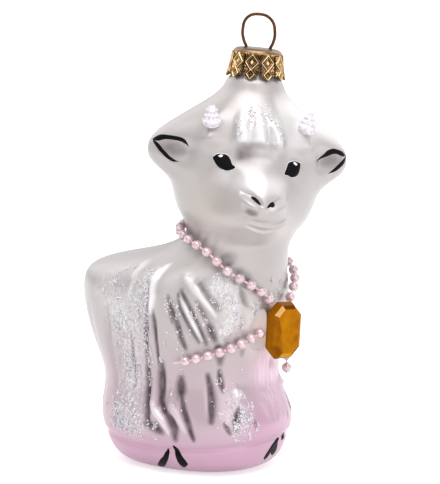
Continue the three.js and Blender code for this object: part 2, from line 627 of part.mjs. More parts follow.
// Stone: an octagon with a stepped crown and a tapered back
function octagonRing(width, height, corner, y) {
  const w = width / 2;
  const h = height / 2;
  return [
    [w - corner, h], [w, h - corner], [w, corner - h], [w - corner, -h],
    [corner - w, -h], [-w, corner - h], [-w, h - corner], [corner - w, h],
  ].map(([x, z]) => new THREE.Vector3(x, y, z));
}

function stone(grow = 0) {
  const layer = (inset, y) => octagonRing(
    STONE_WIDTH - 2 * inset + 2 * grow, STONE_HEIGHT - 2 * inset + 2 * grow,
    Math.max(STONE_CORNER - inset * 0.55, 0.6), y,
  );
  const rings = [
    layer(STONE_BEVEL * 1.5, STONE_PAVILION + grow),
    layer(STONE_BEVEL * 0.6, STONE_PAVILION * 0.55 + grow),
    layer(0, STONE_GIRDLE / 2 + grow * 0.4),
    layer(0, -STONE_GIRDLE / 2 - grow * 0.4),
    layer(STONE_BEVEL * 0.45, -STONE_GIRDLE / 2 - STONE_CROWN * 0.62 - grow),
    layer(STONE_BEVEL, -STONE_GIRDLE / 2 - STONE_CROWN - grow),
  ];
  const points = rings.flat();
  const faces = [];
  for (let k = 0; k < rings.length - 1; k += 1) {
    for (let i = 0; i < 8; i += 1) {
      const a = k * 8 + i;
      const b = k * 8 + ((i + 1) % 8);
      faces.push([a, b + 8, b], [a, a + 8, b + 8]);
    }
  }
  const last = points.length - 8;
  for (let i = 1; i < 7; i += 1) faces.push([0, i, i + 1], [last, last + i + 1, last + i]);
  return geometryOf(points, faces);
}
const stoneFrame = new THREE.Matrix4().makeTranslation(...STONE_AT)
  .multiply(new THREE.Matrix4().makeRotationZ(rad(STONE_TURN)))
  .multiply(new THREE.Matrix4().makeRotationY(rad(STONE_LEAN)));
const stoneMesh = piece('stone', stone(), AMBER);
stoneMesh.applyMatrix4(stoneFrame);

// Glue: a dab that fills the space from the stone's back to the glass
const outOfStone = new THREE.Vector3(Math.sin(rad(STONE_TURN)), -Math.cos(rad(STONE_TURN)), 0);
const glueAt = new THREE.Vector3(...STONE_AT).addScaledVector(outOfStone, -STONE_PAVILION - 0.5);

function glue() {
  const dab = new THREE.SphereGeometry(GLUE_RADIUS, 14, 8);
  const place = new THREE.Matrix4().makeTranslation(glueAt.x, glueAt.y, glueAt.z);
  return geometryFrom(solidOf(dab, place).subtract(seatCutter).subtract(solidOf(stone(SEAT_GAP), stoneFrame)));
}
piece('glue_dab', glue(), GLUE);

// Strand: each route is laid on the glass and lifted until a bead clears the relief all round. The lift
// is evened out along the route, so the thread runs straight through each bore.
function liftAt(round, height) {
  const azimuth = BODY_TURN + round;
  const normal = glassNormal(azimuth, height, false);
  const at = glassPoint(azimuth, height, false);
  const near = [];
  for (let i = -6; i <= 6; i += 1) {
    for (let k = -10; k <= 8; k += 1) near.push(glassPoint(azimuth + 2 * i, height + 0.6 * k));
  }
  let lift = 0;
  for (let pass = 0; pass < 20; pass += 1) {
    const middle = at.clone().addScaledVector(normal, lift);
    lift += BEAD / 2 + STRAND_GAP - Math.min(...near.map((p) => p.distanceTo(middle)));
  }
  return lift;
}

// Past the end beads the bare thread dips to the glass, under the stone
function strand(route, startTuck, endTuck, drop = 0) {
  const plan = new THREE.CatmullRomCurve3(route.map(([round, height]) => new THREE.Vector3(round, height, 0)));
  const places = plan.getSpacedPoints(route.length * 5);
  const around = (list, i) => list.slice(Math.max(i - 3, 0), i + 4);
  const lifts = places.map((p) => liftAt(p.x, p.y));
  const crests = lifts.map((_, i) => Math.max(...around(lifts, i)));
  const feet = places.map((p) => glassPoint(BODY_TURN + p.x, p.y, false));
  const run = feet.map((p, i) => (i === 0 ? 0 : p.distanceTo(feet[i - 1])));
  const total = run.reduce((sum, v) => sum + v, 0);
  let at = 0;
  const points = places.map((p, i) => {
    at += run[i];
    const even = around(crests, i).reduce((sum, v) => sum + v, 0) / around(crests, i).length;
    const start = smooth(at, 0, startTuck * 0.5);
    const end = endTuck > 0 ? smooth(total - at, 0, endTuck * 0.5) : 1;
    const lift = THREE.MathUtils.lerp(THREAD / 2 + STRAND_GAP, even, start * end);
    return feet[i].addScaledVector(glassNormal(BODY_TURN + p.x, p.y, false), lift);
  });
  if (drop === 0) return new THREE.CatmullRomCurve3(points);
  const last = points[points.length - 1];
  const hanging = [0.12, 0.4, 0.7, 1].map((share) => new THREE.Vector3(last.x, last.y, last.z - drop * share));
  return new THREE.CatmullRomCurve3([...points.slice(0, -6), ...hanging]);
}

function beadShape() {
  const bore = BEAD_BORE / 2;
  const end = Math.sqrt((BEAD / 2) ** 2 - bore ** 2);
  const belly = (BEAD / 2) * Math.cos(Math.PI / 6);
  const outline = [[bore, -end], [belly, -BEAD / 4], [BEAD / 2, 0], [belly, BEAD / 4], [bore, end], [bore, -end]];
  return turned(outline, 7);
}

function beads(name, curve, count, from, to) {
  const whole = Math.round(count);
  for (let i = 0; i < whole; i += 1) {
    const u = from + ((to - from) * i) / (whole - 1);
    const bead = piece(`${name}_${String(i + 1).padStart(2, '0')}`, beadShape(), PINK_PEARL);
    bead.position.copy(curve.getPointAt(u));
    bead.quaternion.setFromUnitVectors(new THREE.Vector3(0, 0, 1), curve.getTangentAt(u));
  }
}

const neckCurve = strand(NECK_ROUTE, NECK_TUCK, NECK_TUCK_LEFT);
const neckLength = neckCurve.getLength();
piece('neck_thread', tube(neckCurve, THREAD, 5, 64), PINK_THREAD);
beads('neck_bead', neckCurve, NECK_BEADS, NECK_TUCK / neckLength, 1 - NECK_TUCK_LEFT / neckLength);

const tails = [
  ['right', RIGHT_TAIL_ROUTE, 0, RIGHT_TAIL_BEADS, RIGHT_TAIL_END],
  ['left', LEFT_TAIL_ROUTE, LEFT_TAIL_DROP, LEFT_TAIL_BEADS, LEFT_TAIL_END],
];
for (const [name, route, drop, count, bare] of tails) {
  const curve = strand(route, TAIL_TUCK, 0, drop);
  const length = curve.getLength();
  piece(`${name}_tail_thread`, tube(curve, THREAD, 5, 24), PINK_THREAD);
  beads(`${name}_tail_bead`, curve, count, TAIL_TUCK / length, 1 - (BEAD / 2 + bare) / length);
}

export default ornament;
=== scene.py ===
# %% [markdown]
# # A blown-glass goat for the tree
# The ornament is a hollow glass goat, silvered inside and lacquered with pearl outside. It has painted
# eyes and hooves, a strand of pearl beads with a glued stone, glitter on its coat, and a stamped metal
# cap with a wire loop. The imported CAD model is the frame: every piece here is laid where that frame says.

# %% Load the frame
import math
import bpy
import numpy as np
from mathutils import Matrix, Vector


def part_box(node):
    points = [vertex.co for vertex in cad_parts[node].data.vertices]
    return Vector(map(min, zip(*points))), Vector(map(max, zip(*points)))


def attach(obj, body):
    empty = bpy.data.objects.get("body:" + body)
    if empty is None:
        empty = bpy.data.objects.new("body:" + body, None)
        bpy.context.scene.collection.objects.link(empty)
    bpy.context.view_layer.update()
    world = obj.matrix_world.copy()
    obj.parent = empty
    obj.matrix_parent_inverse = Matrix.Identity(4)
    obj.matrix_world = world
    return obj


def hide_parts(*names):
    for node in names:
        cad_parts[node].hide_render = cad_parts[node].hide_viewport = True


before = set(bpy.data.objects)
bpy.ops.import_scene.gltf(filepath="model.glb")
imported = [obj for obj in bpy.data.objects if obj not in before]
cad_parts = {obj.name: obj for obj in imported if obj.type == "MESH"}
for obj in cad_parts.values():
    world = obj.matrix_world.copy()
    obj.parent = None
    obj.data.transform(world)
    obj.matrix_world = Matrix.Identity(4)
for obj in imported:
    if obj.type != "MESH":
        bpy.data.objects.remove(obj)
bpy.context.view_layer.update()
MM = 0.001
rng = np.random.default_rng(7)

# %% [markdown]
# ## Camera
# The photograph looks slightly down on the goat from the front, with a long lens. A small shift puts the
# goat left of the middle, as it is there. A camera could also be aimed by a constraint, but a plain
# place and turn is easier to read.

# %% Camera
EYE = (0, -0.5942, 0.1405)
TILT = 82           # degrees, where 90 looks level
LENS = 178.5
SHIFT = (0.0475, -0.0099)
FAR = 60
bpy.ops.object.select_all(action="DESELECT")
bpy.ops.object.camera_add(location=EYE, rotation=(math.radians(TILT), 0, 0))
camera = bpy.context.object
camera.data.lens = LENS
camera.data.shift_x, camera.data.shift_y = SHIFT
camera.data.clip_end = FAR
bpy.context.scene.camera = camera
print("camera at", EYE, "with a", LENS, "mm lens")

# %% [markdown]
# ## Light and floor
# Pearl and metal show what stands around them. A pale room, brighter overhead than at the horizon, gives
# them soft reflections, and mirrored rays see that room whiter than it lights the goat, as in a white
# studio. Large soft lamps shape the form. The floor is white paper, with a little glow of its own for the
# camera, so that it meets the white of the photograph and keeps a shadow. Room, floor and finishes are all
# made of nodes, so helpers that add and link nodes come first.

# %% Node helpers
def add(tree, kind, values=None, **settings):
    """A node with its settings and the values of its inputs."""
    made = tree.nodes.new(kind)
    for key, value in settings.items():
        setattr(made, key, value)
    for key, value in (values or {}).items():
        made.inputs[key].default_value = value
    return made


def wire(tree, start, end):
    """A link from one socket to another, each given as a pair: a node, and a name or number."""
    tree.links.new(start[0].outputs[start[1]], end[0].inputs[end[1]])


def ranged(tree, source, low, high, to_low, to_high):
    """A number moved from one range to another."""
    made = add(tree, "ShaderNodeMapRange", {1: low, 2: high, 3: to_low, 4: to_high})
    wire(tree, source, (made, 0))
    return made, 0


def combined(tree, operation, one, two):
    """Two numbers multiplied, or the greater of them, as the operation says."""
    made = add(tree, "ShaderNodeMath", operation=operation)
    wire(tree, one, (made, 0))
    wire(tree, two, (made, 1))
    return made, 0


def finish_nodes(name, values=None):
    """A new material with its node tree and its shader, whose plain values are set."""
    made = bpy.data.materials.new(name)
    made.use_nodes = True
    shader = made.node_tree.nodes["Principled BSDF"]
    for key, value in (values or {}).items():
        shader.inputs[key].default_value = value
    return made, made.node_tree, shader


print("node helpers ready")

# %% Room
HORIZON, OVERHEAD, OVERHEAD_FROM = (0.72, 0.72, 0.72, 1), (0.9, 0.9, 0.9, 1), 0.8
ROOM_LIGHT, MIRRORED_LIGHT = 0.62, 1.15
scene = bpy.context.scene
scene.view_settings.view_transform = "Standard"
room = bpy.data.worlds.new("pale_room")
scene.world = room
room.use_nodes = True
sky = room.node_tree
background = sky.nodes["Background"]
way = add(sky, "ShaderNodeTexCoord")
height = add(sky, "ShaderNodeSeparateXYZ")
ramp = add(sky, "ShaderNodeValToRGB")
ramp.color_ramp.elements[0].color = HORIZON
ramp.color_ramp.elements[1].color = OVERHEAD
ramp.color_ramp.elements[1].position = OVERHEAD_FROM
wire(sky, (way, "Generated"), (height, 0))
wire(sky, (height, "Z"), (ramp, 0))
wire(sky, (ramp, 0), (background, "Color"))
rays = add(sky, "ShaderNodeLightPath")
strength = ranged(sky, (rays, "Is Glossy Ray"), 0, 1, ROOM_LIGHT, MIRRORED_LIGHT)
wire(sky, strength, (background, "Strength"))
print("room light set")


# %% Lamps
def soft_lamp(name, place, aim, width, watts):
    """A square lamp that looks at a point."""
    bpy.ops.object.light_add(type="AREA", location=place)
    lamp = bpy.context.object
    lamp.name = name
    lamp.data.size = width
    lamp.data.energy = watts
    lamp.rotation_euler = (Vector(aim) - Vector(place)).to_track_quat("-Z", "Y").to_euler()
    return lamp


AIM = (0.004, -0.004, 0.055)
soft_lamp("key", (0.02, -0.24, 0.8), AIM, 0.72, 5.6)
soft_lamp("side", (0.38, -0.62, 0.16), AIM, 0.6, 1.5)
soft_lamp("back_left", (-0.5, 0.5, 0.5), AIM, 0.7, 1.2)
soft_lamp("back_right", (0.52, 0.5, 0.5), AIM, 0.7, 1.4)
print("four lamps")

# %% Floor
PAPER_WHITE, FLOOR_WIDTH = (0.85, 0.85, 0.85, 1), 24
NEAR, FAR_OFF = 0.08, 0.5
NEAR_GLOW, FAR_GLOW = 0.55, 0.9
paper, tree, shader = finish_nodes("white_paper", {
    "Base Color": PAPER_WHITE, "Roughness": 0.9, "Emission Color": (1, 1, 1, 1),
})
coords = add(tree, "ShaderNodeTexCoord")
away = add(tree, "ShaderNodeVectorMath", operation="LENGTH")
wire(tree, (coords, "Object"), (away, 0))
glow = ranged(tree, (away, "Value"), NEAR, FAR_OFF, NEAR_GLOW, FAR_GLOW)
rays = add(tree, "ShaderNodeLightPath")
seen = combined(tree, "MAXIMUM", (rays, "Is Camera Ray"), (rays, "Is Glossy Ray"))
seen = combined(tree, "MAXIMUM", seen, (rays, "Is Transmission Ray"))
wire(tree, combined(tree, "MULTIPLY", seen, glow), (shader, "Emission Strength"))
bpy.ops.object.select_all(action="DESELECT")
bpy.ops.mesh.primitive_plane_add(size=FLOOR_WIDTH)
floor = bpy.context.object
floor.name = "floor"
floor.data.materials.append(paper)
print("floor laid")

# %% [markdown]
# ## The glass
# A glass goat is blown into a two-part mould, so all of it, with face, ears and coat, is one skin. Sculpting
# would lose its sizes, so the skin is a formula: rings from the foot to the rim, and relief added to them.
# The rings and the broad relief are the same numbers as in the CAD model, and the finer strokes of the
# coat and face are added here.

# %% Rings of the glass
BODY_TURN, FACE_TURN, LEAN, LEAN_LEVEL = 55, 11, 5.4, 61
SEAT_LEVEL, PIKE_RIM = 96.4, 104
# Height, shift towards the chest, reach to the front and to the back, half width and squareness
RINGS = np.array([
    [0, 0, 14, 14, 11, 2.2], [0.6, 0, 18, 18, 14.2, 2.3], [2.6, 0, 21.2, 21.2, 16.8, 2.4],
    [6.6, 0, 22.6, 22.8, 18.6, 2.4], [12, 0, 24.2, 24.6, 20.2, 2.4], [17, 0, 22.2, 24.2, 19.2, 2.4],
    [22.5, 0, 19.6, 23.4, 18, 2.4], [29, 0, 20.8, 27, 19, 2.3], [36.5, 0, 22, 30, 20, 2.3],
    [44, 0, 23.2, 31.3, 20.4, 2.3], [48.6, 0, 23.2, 30.6, 19.6, 2.2], [50.8, 2.4, 21.4, 28.6, 17.8, 2.1],
    [52.4, 5.4, 19, 25, 16.2, 2], [54, 8.6, 16, 20.6, 14.8, 2], [55.8, 11.4, 13.4, 17, 13.4, 2],
    [58, 13, 12.4, 13.9, 12.8, 2], [60.8, 13.2, 13.8, 13.6, 13.6, 2], [64, 13.2, 15.4, 15.2, 16.2, 2],
    [68, 13.2, 15.4, 16.6, 17.6, 2], [73, 13.2, 14.8, 17.8, 18.6, 2], [78, 13.2, 13.8, 18.4, 18.8, 2],
    [82, 13.2, 13.4, 17.8, 18.2, 2], [86, 13.2, 12.8, 15.6, 16.2, 2], [89.4, 13.2, 11.4, 12.8, 13, 2],
    [92, 13.2, 9.2, 9.8, 9.9, 2], [94.4, 13.2, 7.5, 7.7, 7.7, 2], [96.4, 13.2, 7, 7, 7, 2],
    [97.4, 13.2, 6.4, 6.4, 6.4, 2], [98.4, 13.2, 5.3, 5.3, 5.3, 2], [100, 13.2, 5, 5, 5, 2],
    [104, 13.2, 5, 5, 5, 2],
])


def ring_at(t):
    """A cubic B-spline that the rings guide."""
    i = np.minimum(np.floor(t).astype(int), len(RINGS) - 2)
    u = (t - i)[..., None]
    rows = np.vstack([2 * RINGS[0] - RINGS[1], RINGS, 2 * RINGS[-1] - RINGS[-2]])
    near = (1 - u) ** 3 * rows[i] + (3 * u ** 3 - 6 * u ** 2 + 4) * rows[i + 1]
    far = (-3 * u ** 3 + 3 * u ** 2 + 3 * u + 1) * rows[i + 2] + u ** 3 * rows[i + 3]
    return (near + far) / 6


RING_STEPS = np.linspace(0, len(RINGS) - 1, 6001)
RING_HEIGHTS = ring_at(RING_STEPS)[:, 0]
print(len(RINGS), "rings, up to", PIKE_RIM, "mm")


# %% Small shapes that the relief is made of
def smooth(x, a, b):
    """0 below a, 1 above b, and an even curve between."""
    t = np.clip((np.asarray(x, float) - a) / (b - a), 0, 1)
    return t * t * (3 - 2 * t)


def wrap(degrees):
    """Degrees from -180 to 180."""
    return (np.asarray(degrees, float) + 180) % 360 - 180


def hill(x, x0, wide, y, y0, tall):
    """A soft round rise, 1 at its top."""
    return np.exp(-((x - x0) / wide) ** 2 - ((y - y0) / tall) ** 2)


def mound(spot, x, y):
    """A hill that is given as its rise, place and half width, and height and half height."""
    rise, x0, wide, y0, tall = spot
    return rise * hill(x, x0, wide, y, y0, tall)


def between(x, a, b, c, d):
    """0 up to a, 1 from b to c, and 0 again from d."""
    return smooth(x, a, b) * (1 - smooth(x, c, d))


def stroke(x, y, route, width, arc, taper=0.0):
    """Closeness to a line of points: 1 on it, fading over its width, thinner towards its ends."""
    route = np.array(route, float)
    legs = np.hypot(np.diff(route[:, 0]) * arc, np.diff(route[:, 1]))
    total, run, best = legs.sum(), 0.0, np.zeros(np.broadcast(x, y).shape)
    for (x0, y0), (x1, y1), leg in zip(route[:-1], route[1:], legs):
        dx, dy = (x1 - x0) * arc, y1 - y0
        t = np.clip(((x - x0) * arc * dx + (y - y0) * dy) / (dx * dx + dy * dy), 0, 1)
        gap = ((x - x0) * arc - t * dx) ** 2 + (y - y0 - t * dy) ** 2
        along = (run + t * leg) / total
        ends = 1 - taper * np.abs(2 * along - 1) ** 2.5
        best = np.maximum(best, ends * np.exp(-gap / (width * ends + 1e-6) ** 2))
        run += leg
    return best


print("relief shapes ready")

# %% Ears and muzzle
# Height above the muzzle's level, and share of its reach
MUZZLE = np.array([
    [-12, 0], [-9.5, 0.08], [-7.5, 0.35], [-6, 0.59], [-4, 0.82], [-2, 0.93], [0, 1],
    [1.6, 0.96], [4, 0.7], [7, 0.4], [10, 0.16], [12, 0.03], [15, 0],
])
EAR_LEVEL, EAR_REACH, EAR_DISH, MUZZLE_LEVEL, MUZZLE_REACH = 79.6, 6.4, 2.2, 68, 7.4


def muzzle_share(x):
    """Share of the muzzle's reach at a height above its level, evened over three millimetres."""
    return sum(np.interp(x + d, MUZZLE[:, 0], MUZZLE[:, 1]) for d in np.linspace(-1.5, 1.5, 7)) / 7


def broad_relief(azimuth, level):
    """Ears and muzzle, which the inside of the glass follows too."""
    f = wrap(azimuth - FACE_TURN)
    d = level - EAR_LEVEL
    leaf = np.where(d > 0, np.exp(-(np.abs(d) / 7.7) ** 2), np.exp(-(np.abs(d) / 6.6) ** 3.2))
    ear = EAR_REACH * leaf * np.exp(-((np.abs(f) - 90) / 21) ** 2)
    spread = 22 + 7 * (1 - smooth(level, 62, 70))
    muzzle = MUZZLE_REACH * muzzle_share(level - MUZZLE_LEVEL) * np.exp(-(f / spread) ** 2)
    return (ear + muzzle) * smooth(level, 56, 59)


print("ears reach", EAR_REACH, "mm and the muzzle", MUZZLE_REACH, "mm")

# %% Face
EYE_LEVEL, LOCK_LEVEL, STUB_LEVEL, STUB_TURN = 77.5, 86.6, 86.6, 49.5
FACE_ARC = 0.34     # millimetres to a degree round the face
# Degrees from the face, slant, half width and height of the middle
LOCKS = [(-20.5, 0.5, 7.6, 84.6), (-3.2, 0.4, 8.8, 84.9), (14.2, 0.8, 7.0, 84.5)]
LOCK_RISE, LOCK_OVER, LOCK_UNDER = 1.9, 4.6, 2.5
RECESS_DEPTH, CREST_RISE = 0.7, 0.4
# Dish of the ear, socket, eye, brow, horn stub and its root, on both sides of the face: rise, degrees from
# the face and half width, height and half height
FACE_MOUNDS = [
    (-EAR_DISH, 70, 8.5, EAR_LEVEL - 0.6, 3.2), (-1.2, 33, 10, EYE_LEVEL + 1, 4.2),
    (1.3, 34, 8, EYE_LEVEL, 2.9), (0.9, 42, 12, EYE_LEVEL + 5, 2.2),
    (1.6, STUB_TURN, 8, STUB_LEVEL, 2.6), (1.2, STUB_TURN - 1, 7, STUB_LEVEL - 3.6, 1.9),
]
SMILE = [(-14, 66.2), (-8.5, 65.4), (-4, 64.9), (2.2, 64.6), (7.9, 64.7), (14.7, 65.1), (21, 65.8)]
SMILE_LOW = [(-10.5, 64.1), (-5, 63.4), (0.5, 62.8), (5.3, 62.6), (10, 62.8), (14.8, 63.5), (20, 64.4)]
# Two lines of the smile, two nostrils, their two wings and a fold: rise, width, taper and route
FACE_STROKES = [
    (-0.65, 0.6, 0.8, SMILE),
    (-0.7, 0.6, 0.8, SMILE_LOW),
    (-0.9, 0.8, 0.5, [(-14.5, 71.6), (-8, 70.8), (-0.8, 68.9)]),
    (-0.75, 0.8, 0.5, [(2.2, 68.6), (8, 69.7), (12.5, 70.6)]),
    (1.3, 1.15, 0.5, [(-15, 70.2), (-7.7, 69), (-3, 68)]),
    (1.0, 1.2, 0.5, [(21, 71), (20, 69.4), (12.5, 68.4), (6, 67.8)]),
    (-0.6, 0.7, 0.6, [(-11.5, 67.7), (-6.2, 66.9), (-2.6, 67)]),
]


def across_lock(f, level, lock):
    """Distance from the middle of a slanting lock, 1 at its edge."""
    middle, slant, half, _ = lock
    return np.abs(f - middle - slant * (LOCK_LEVEL - level)) / half


def off_bridge(f, level):
    """Degrees from the nose bridge, which leans over a little on its way up."""
    return np.abs(f + 0.3 * np.clip(level - 70.4, 0, 8))


def face_relief(azimuth, level):
    """Dished ears, eyes, brows, horn stubs, forelock, nose bridge, nostrils and smile."""
    f = wrap(azimuth - FACE_TURN)
    r = sum(mound(spot, np.abs(f), level) for spot in FACE_MOUNDS)
    for lock in LOCKS:
        up = level - lock[3]
        tall = np.where(up > 0, LOCK_OVER, LOCK_UNDER)
        r = r + LOCK_RISE * np.exp(-across_lock(f, level, lock) ** 2.6 - (np.abs(up) / tall) ** 3)
    r = r - RECESS_DEPTH * between(f, -30, -12, 2, 22) * between(level, 74.6, 79.6, 80.4, 83.4)
    half = 10.5 + 0.8 * np.clip(level - 70, 0, 8)
    crest = 1 - smooth(off_bridge(f, level), half - 10, half + 14)
    r = r + CREST_RISE * crest * between(level, 69.4, 71.8, 75.6, 78.6)
    for rise, width, taper, route in FACE_STROKES:
        r = r + rise * stroke(f, level, route, width, FACE_ARC, taper)
    return r * smooth(level, 56, 59)


print(len(LOCKS), "locks in the forelock")

# %% Coat
FLANK_ARC = 0.4     # millimetres to a degree round the flank
# Rise and width of each stroke, and its route: degrees from the chest, and height
COAT = [
    (-0.7, 0.9, [(92.7, 40.3), (93.6, 37.5), (95.1, 35.2), (95.6, 31), (95.2, 26.5)]),
    (-1.0, 1.0, [(95.2, 27), (95.8, 23.5), (95.3, 20.3), (94.8, 17.8), (93, 15), (91.3, 13.6)]),
    (-0.8, 1.1, [(93.4, 12.8), (87.2, 12.3), (81.4, 11.4)]),
    (-0.8, 0.8, [(86.7, 41), (86.7, 37.8), (86.5, 33.7), (85.5, 29.4), (84.7, 27.2)]),
    (-1.1, 1.4, [(82.4, 27.4), (83.1, 23.9), (83.8, 20.7), (83.7, 18.7), (80.3, 16.5), (76.6, 15.1)]),
    (-1.0, 1.2, [(76.6, 15.1), (74.1, 14.3), (70.9, 12.4), (70.3, 10.7)]),
    (-1.1, 1.5, [(66.7, 24.4), (67.3, 20.2)]),
    (-1.0, 1.1, [(66.6, 20), (64.8, 17.4), (62.3, 14.9), (60.2, 12.8), (57.6, 10.3)]),
    (-0.9, 1.0, [(47.3, 25.2), (45.7, 22.7), (45.2, 20.3), (45.6, 17.7), (46.2, 15.4)]),
    (-0.8, 0.9, [(75.6, 45.2), (73.5, 42.1), (71, 40), (68.5, 38.3), (66, 35.1), (63.2, 33)]),
    (-0.8, 0.9, [(66, 46.8), (61.5, 43.5), (55.4, 38.7), (51.5, 35.8), (49.3, 34)]),
    (-0.8, 1.0, [(54.4, 43.5), (51.2, 41.1), (47.3, 38.1), (44.1, 35.6)]),
    (-0.5, 0.9, [(53, 48), (51.2, 47.2), (45.6, 44.6), (41.5, 42.4)]),
    (-0.5, 0.9, [(27.6, 46.9), (24.8, 44.2), (22.6, 43.1)]),
    (-0.5, 1.0, [(39.6, 26.4), (37.8, 22.6)]),
    (-0.7, 1.1, [(28.6, 16.8), (30, 15.2), (31.5, 13.4)]),
    (-0.5, 0.9, [(107.8, 34.4), (108.1, 32.3), (109.5, 29), (108.5, 25), (108, 21.9)]),
    (-0.4, 1.2, [(126.7, 41), (127.3, 35.9), (129.2, 30), (127, 20)]),
    (-0.4, 1.6, [(146, 40), (149, 28), (146, 16)]),
    (-0.5, 1.3, [(66, 54.6), (36.2, 51.2), (20.3, 47.6)]),
    (-0.4, 1.0, [(7, 18.5), (4.3, 16), (1.8, 13.4)]),
    (0.9, 1.1, [(99, 52.2), (93, 50.4), (88.6, 48.5), (87.2, 45.1), (88.4, 41.5), (89.6, 36)]),
    (0.5, 0.9, [(127, 52.8), (113.4, 50.9), (106, 48.2), (108, 44.4)]),
    (0.3, 0.8, [(72, 50.8), (61.2, 48.7), (54, 46.2)]),
    (0.8, 0.9, [(57, 47.3), (53.2, 45.9), (48.1, 43.3), (43.2, 40.4)]),
    (0.7, 0.8, [(66.4, 45.2), (62.8, 42.9), (58.9, 40), (55, 37.1), (51.7, 34.8)]),
    (0.8, 0.9, [(90.6, 24), (90.2, 18), (87.1, 16.2), (83, 14.9), (77.2, 12.7), (75, 11)]),
    (0.6, 1.0, [(75.4, 21), (74.8, 17.6), (69.7, 15.8), (65.8, 13.6), (63.7, 12.2)]),
    (1.0, 1.7, [(27.6, 22), (27.2, 20)]),
    (0.7, 1.5, [(38.5, 38.2), (36.2, 35)]),
    (0.7, 1.5, [(31, 41.6), (28, 38)]),
]
# Mounds: rise, degrees from the chest and half width, height and half height
THIGH, FORELEG, TAIL = (0.9, 102, 13, 13.5, 6), (0.7, 40, 14, 15, 7), (1.6, 180, 9, 40, 6.5)
CREASE_LEVEL, CREASE_WAVE, CREASE_DEPTH, CREASE_WIDTH = 7.6, 1.2, 0.75, 0.7
DEEPEST = 1.2


def coat_relief(azimuth, level):
    """Locks of the long coat, the tail and the crease over the hooves, the same on both flanks."""
    b = wrap(azimuth - BODY_TURN)
    away = np.abs(b)
    r = 0
    for rise, width, route in COAT:
        r = r + rise * stroke(away, level, route, width, FLANK_ARC, 0.55)
    low = smooth(level, 5, 9)
    r = r + mound(THIGH, away, level) * low + mound(FORELEG, away, level) * low
    r = r + mound(TAIL, away, level)
    crease = CREASE_LEVEL + CREASE_WAVE * np.cos(np.radians(2 * b))
    r = r - CREASE_DEPTH * np.exp(-((level - crease) / CREASE_WIDTH) ** 2)
    r = np.where(r < 0, -DEEPEST * np.tanh(-r / DEEPEST), r)
    return r * (1 - smooth(level, 52, 56))


print(len(COAT), "strokes on each flank")


# %% A point of the glass
def glass_point(azimuth, level, fine=True):
    """Millimetres, for degrees round from the camera's side and a height."""
    azimuth, level = np.broadcast_arrays(np.asarray(azimuth, float), np.asarray(level, float))
    ring = ring_at(np.interp(level, RING_HEIGHTS, RING_STEPS))
    z, shift, front, back, wide, square = [ring[..., k] for k in range(6)]
    a = np.radians(azimuth - BODY_TURN - (FACE_TURN - BODY_TURN) * smooth(level, 56, 62))
    reach = np.where(np.cos(a) > 0, front, back)
    r = (np.abs(np.cos(a) / reach) ** square + np.abs(np.sin(a) / wide) ** square) ** (-1 / square)
    r = r + broad_relief(azimuth, level)
    if fine:
        r = r + face_relief(azimuth, level) + coat_relief(azimuth, level)
    lean = math.radians(LEAN) * smooth(level, LEAN_LEVEL - 7, LEAN_LEVEL + 3)
    x, y = r * np.sin(np.radians(azimuth)), -r * np.cos(np.radians(azimuth))
    over = math.tan(math.radians(LEAN)) * np.maximum(level - LEAN_LEVEL, 0)
    turn = math.radians(BODY_TURN)
    x_leant = shift * math.sin(turn) + over + x * np.cos(lean)
    return np.stack([x_leant, y - shift * math.cos(turn), z - x * np.sin(lean)], -1)


def glass_normal(azimuth, level, fine=True):
    """The way out of the glass at a place."""
    low, high = np.maximum(level - 0.15, 0), np.minimum(level + 0.15, PIKE_RIM)
    across = glass_point(azimuth + 0.4, level, fine) - glass_point(azimuth - 0.4, level, fine)
    up = glass_point(azimuth, high, fine) - glass_point(azimuth, low, fine)
    out = np.cross(across, up)
    return out / np.linalg.norm(out, axis=-1, keepdims=True)


def on_glass(azimuth, level, lift, fine=True):
    """A place above the glass."""
    azimuth, level = np.asarray(azimuth, float), np.asarray(level, float)
    out = glass_normal(azimuth, level, fine) * np.asarray(lift, float)[..., None]
    return glass_point(azimuth, level, fine) + out


print("nose at", glass_point(FACE_TURN, MUZZLE_LEVEL).round(2))

# %% [markdown]
# A grid primitive is a sheet of squares. Wrapped round the goat like paper, with its seam merged and its
# ends drawn together, it gives an even, closed skin. The same way of wrapping serves later for paint,
# cap and glue, so it is a helper.

# %% Wrapping a grid
def take(piece):
    """Only this piece is selected, and it is the active one."""
    bpy.ops.object.select_all(action="DESELECT")
    piece.select_set(True)
    bpy.context.view_layer.objects.active = piece
    return piece


def placed(name, data):
    """A new object for a mesh or a curve."""
    piece = bpy.data.objects.new(name, data)
    scene.collection.objects.link(piece)
    return take(piece)


def wrapped_grid(name, across, along, shape, values=None):
    """A grid of squares laid on the points that shape(u, v) gives, with its seams merged."""
    bpy.ops.object.select_all(action="DESELECT")
    bpy.ops.mesh.primitive_grid_add(x_subdivisions=across, y_subdivisions=along, size=1)
    piece = bpy.context.object
    piece.name = piece.data.name = name
    corners = np.zeros(len(piece.data.vertices) * 3)
    piece.data.vertices.foreach_get("co", corners)
    u, v, _ = corners.reshape(-1, 3).T + 0.5
    piece.data.vertices.foreach_set("co", (shape(u, v) * MM).ravel())
    for key, value in (values(u, v) if values else {}).items():
        made = piece.data.attributes.new(key, "FLOAT", "POINT")
        made.data.foreach_set("value", value.astype(np.float32))
    merge_and_turn_out(piece)
    return piece


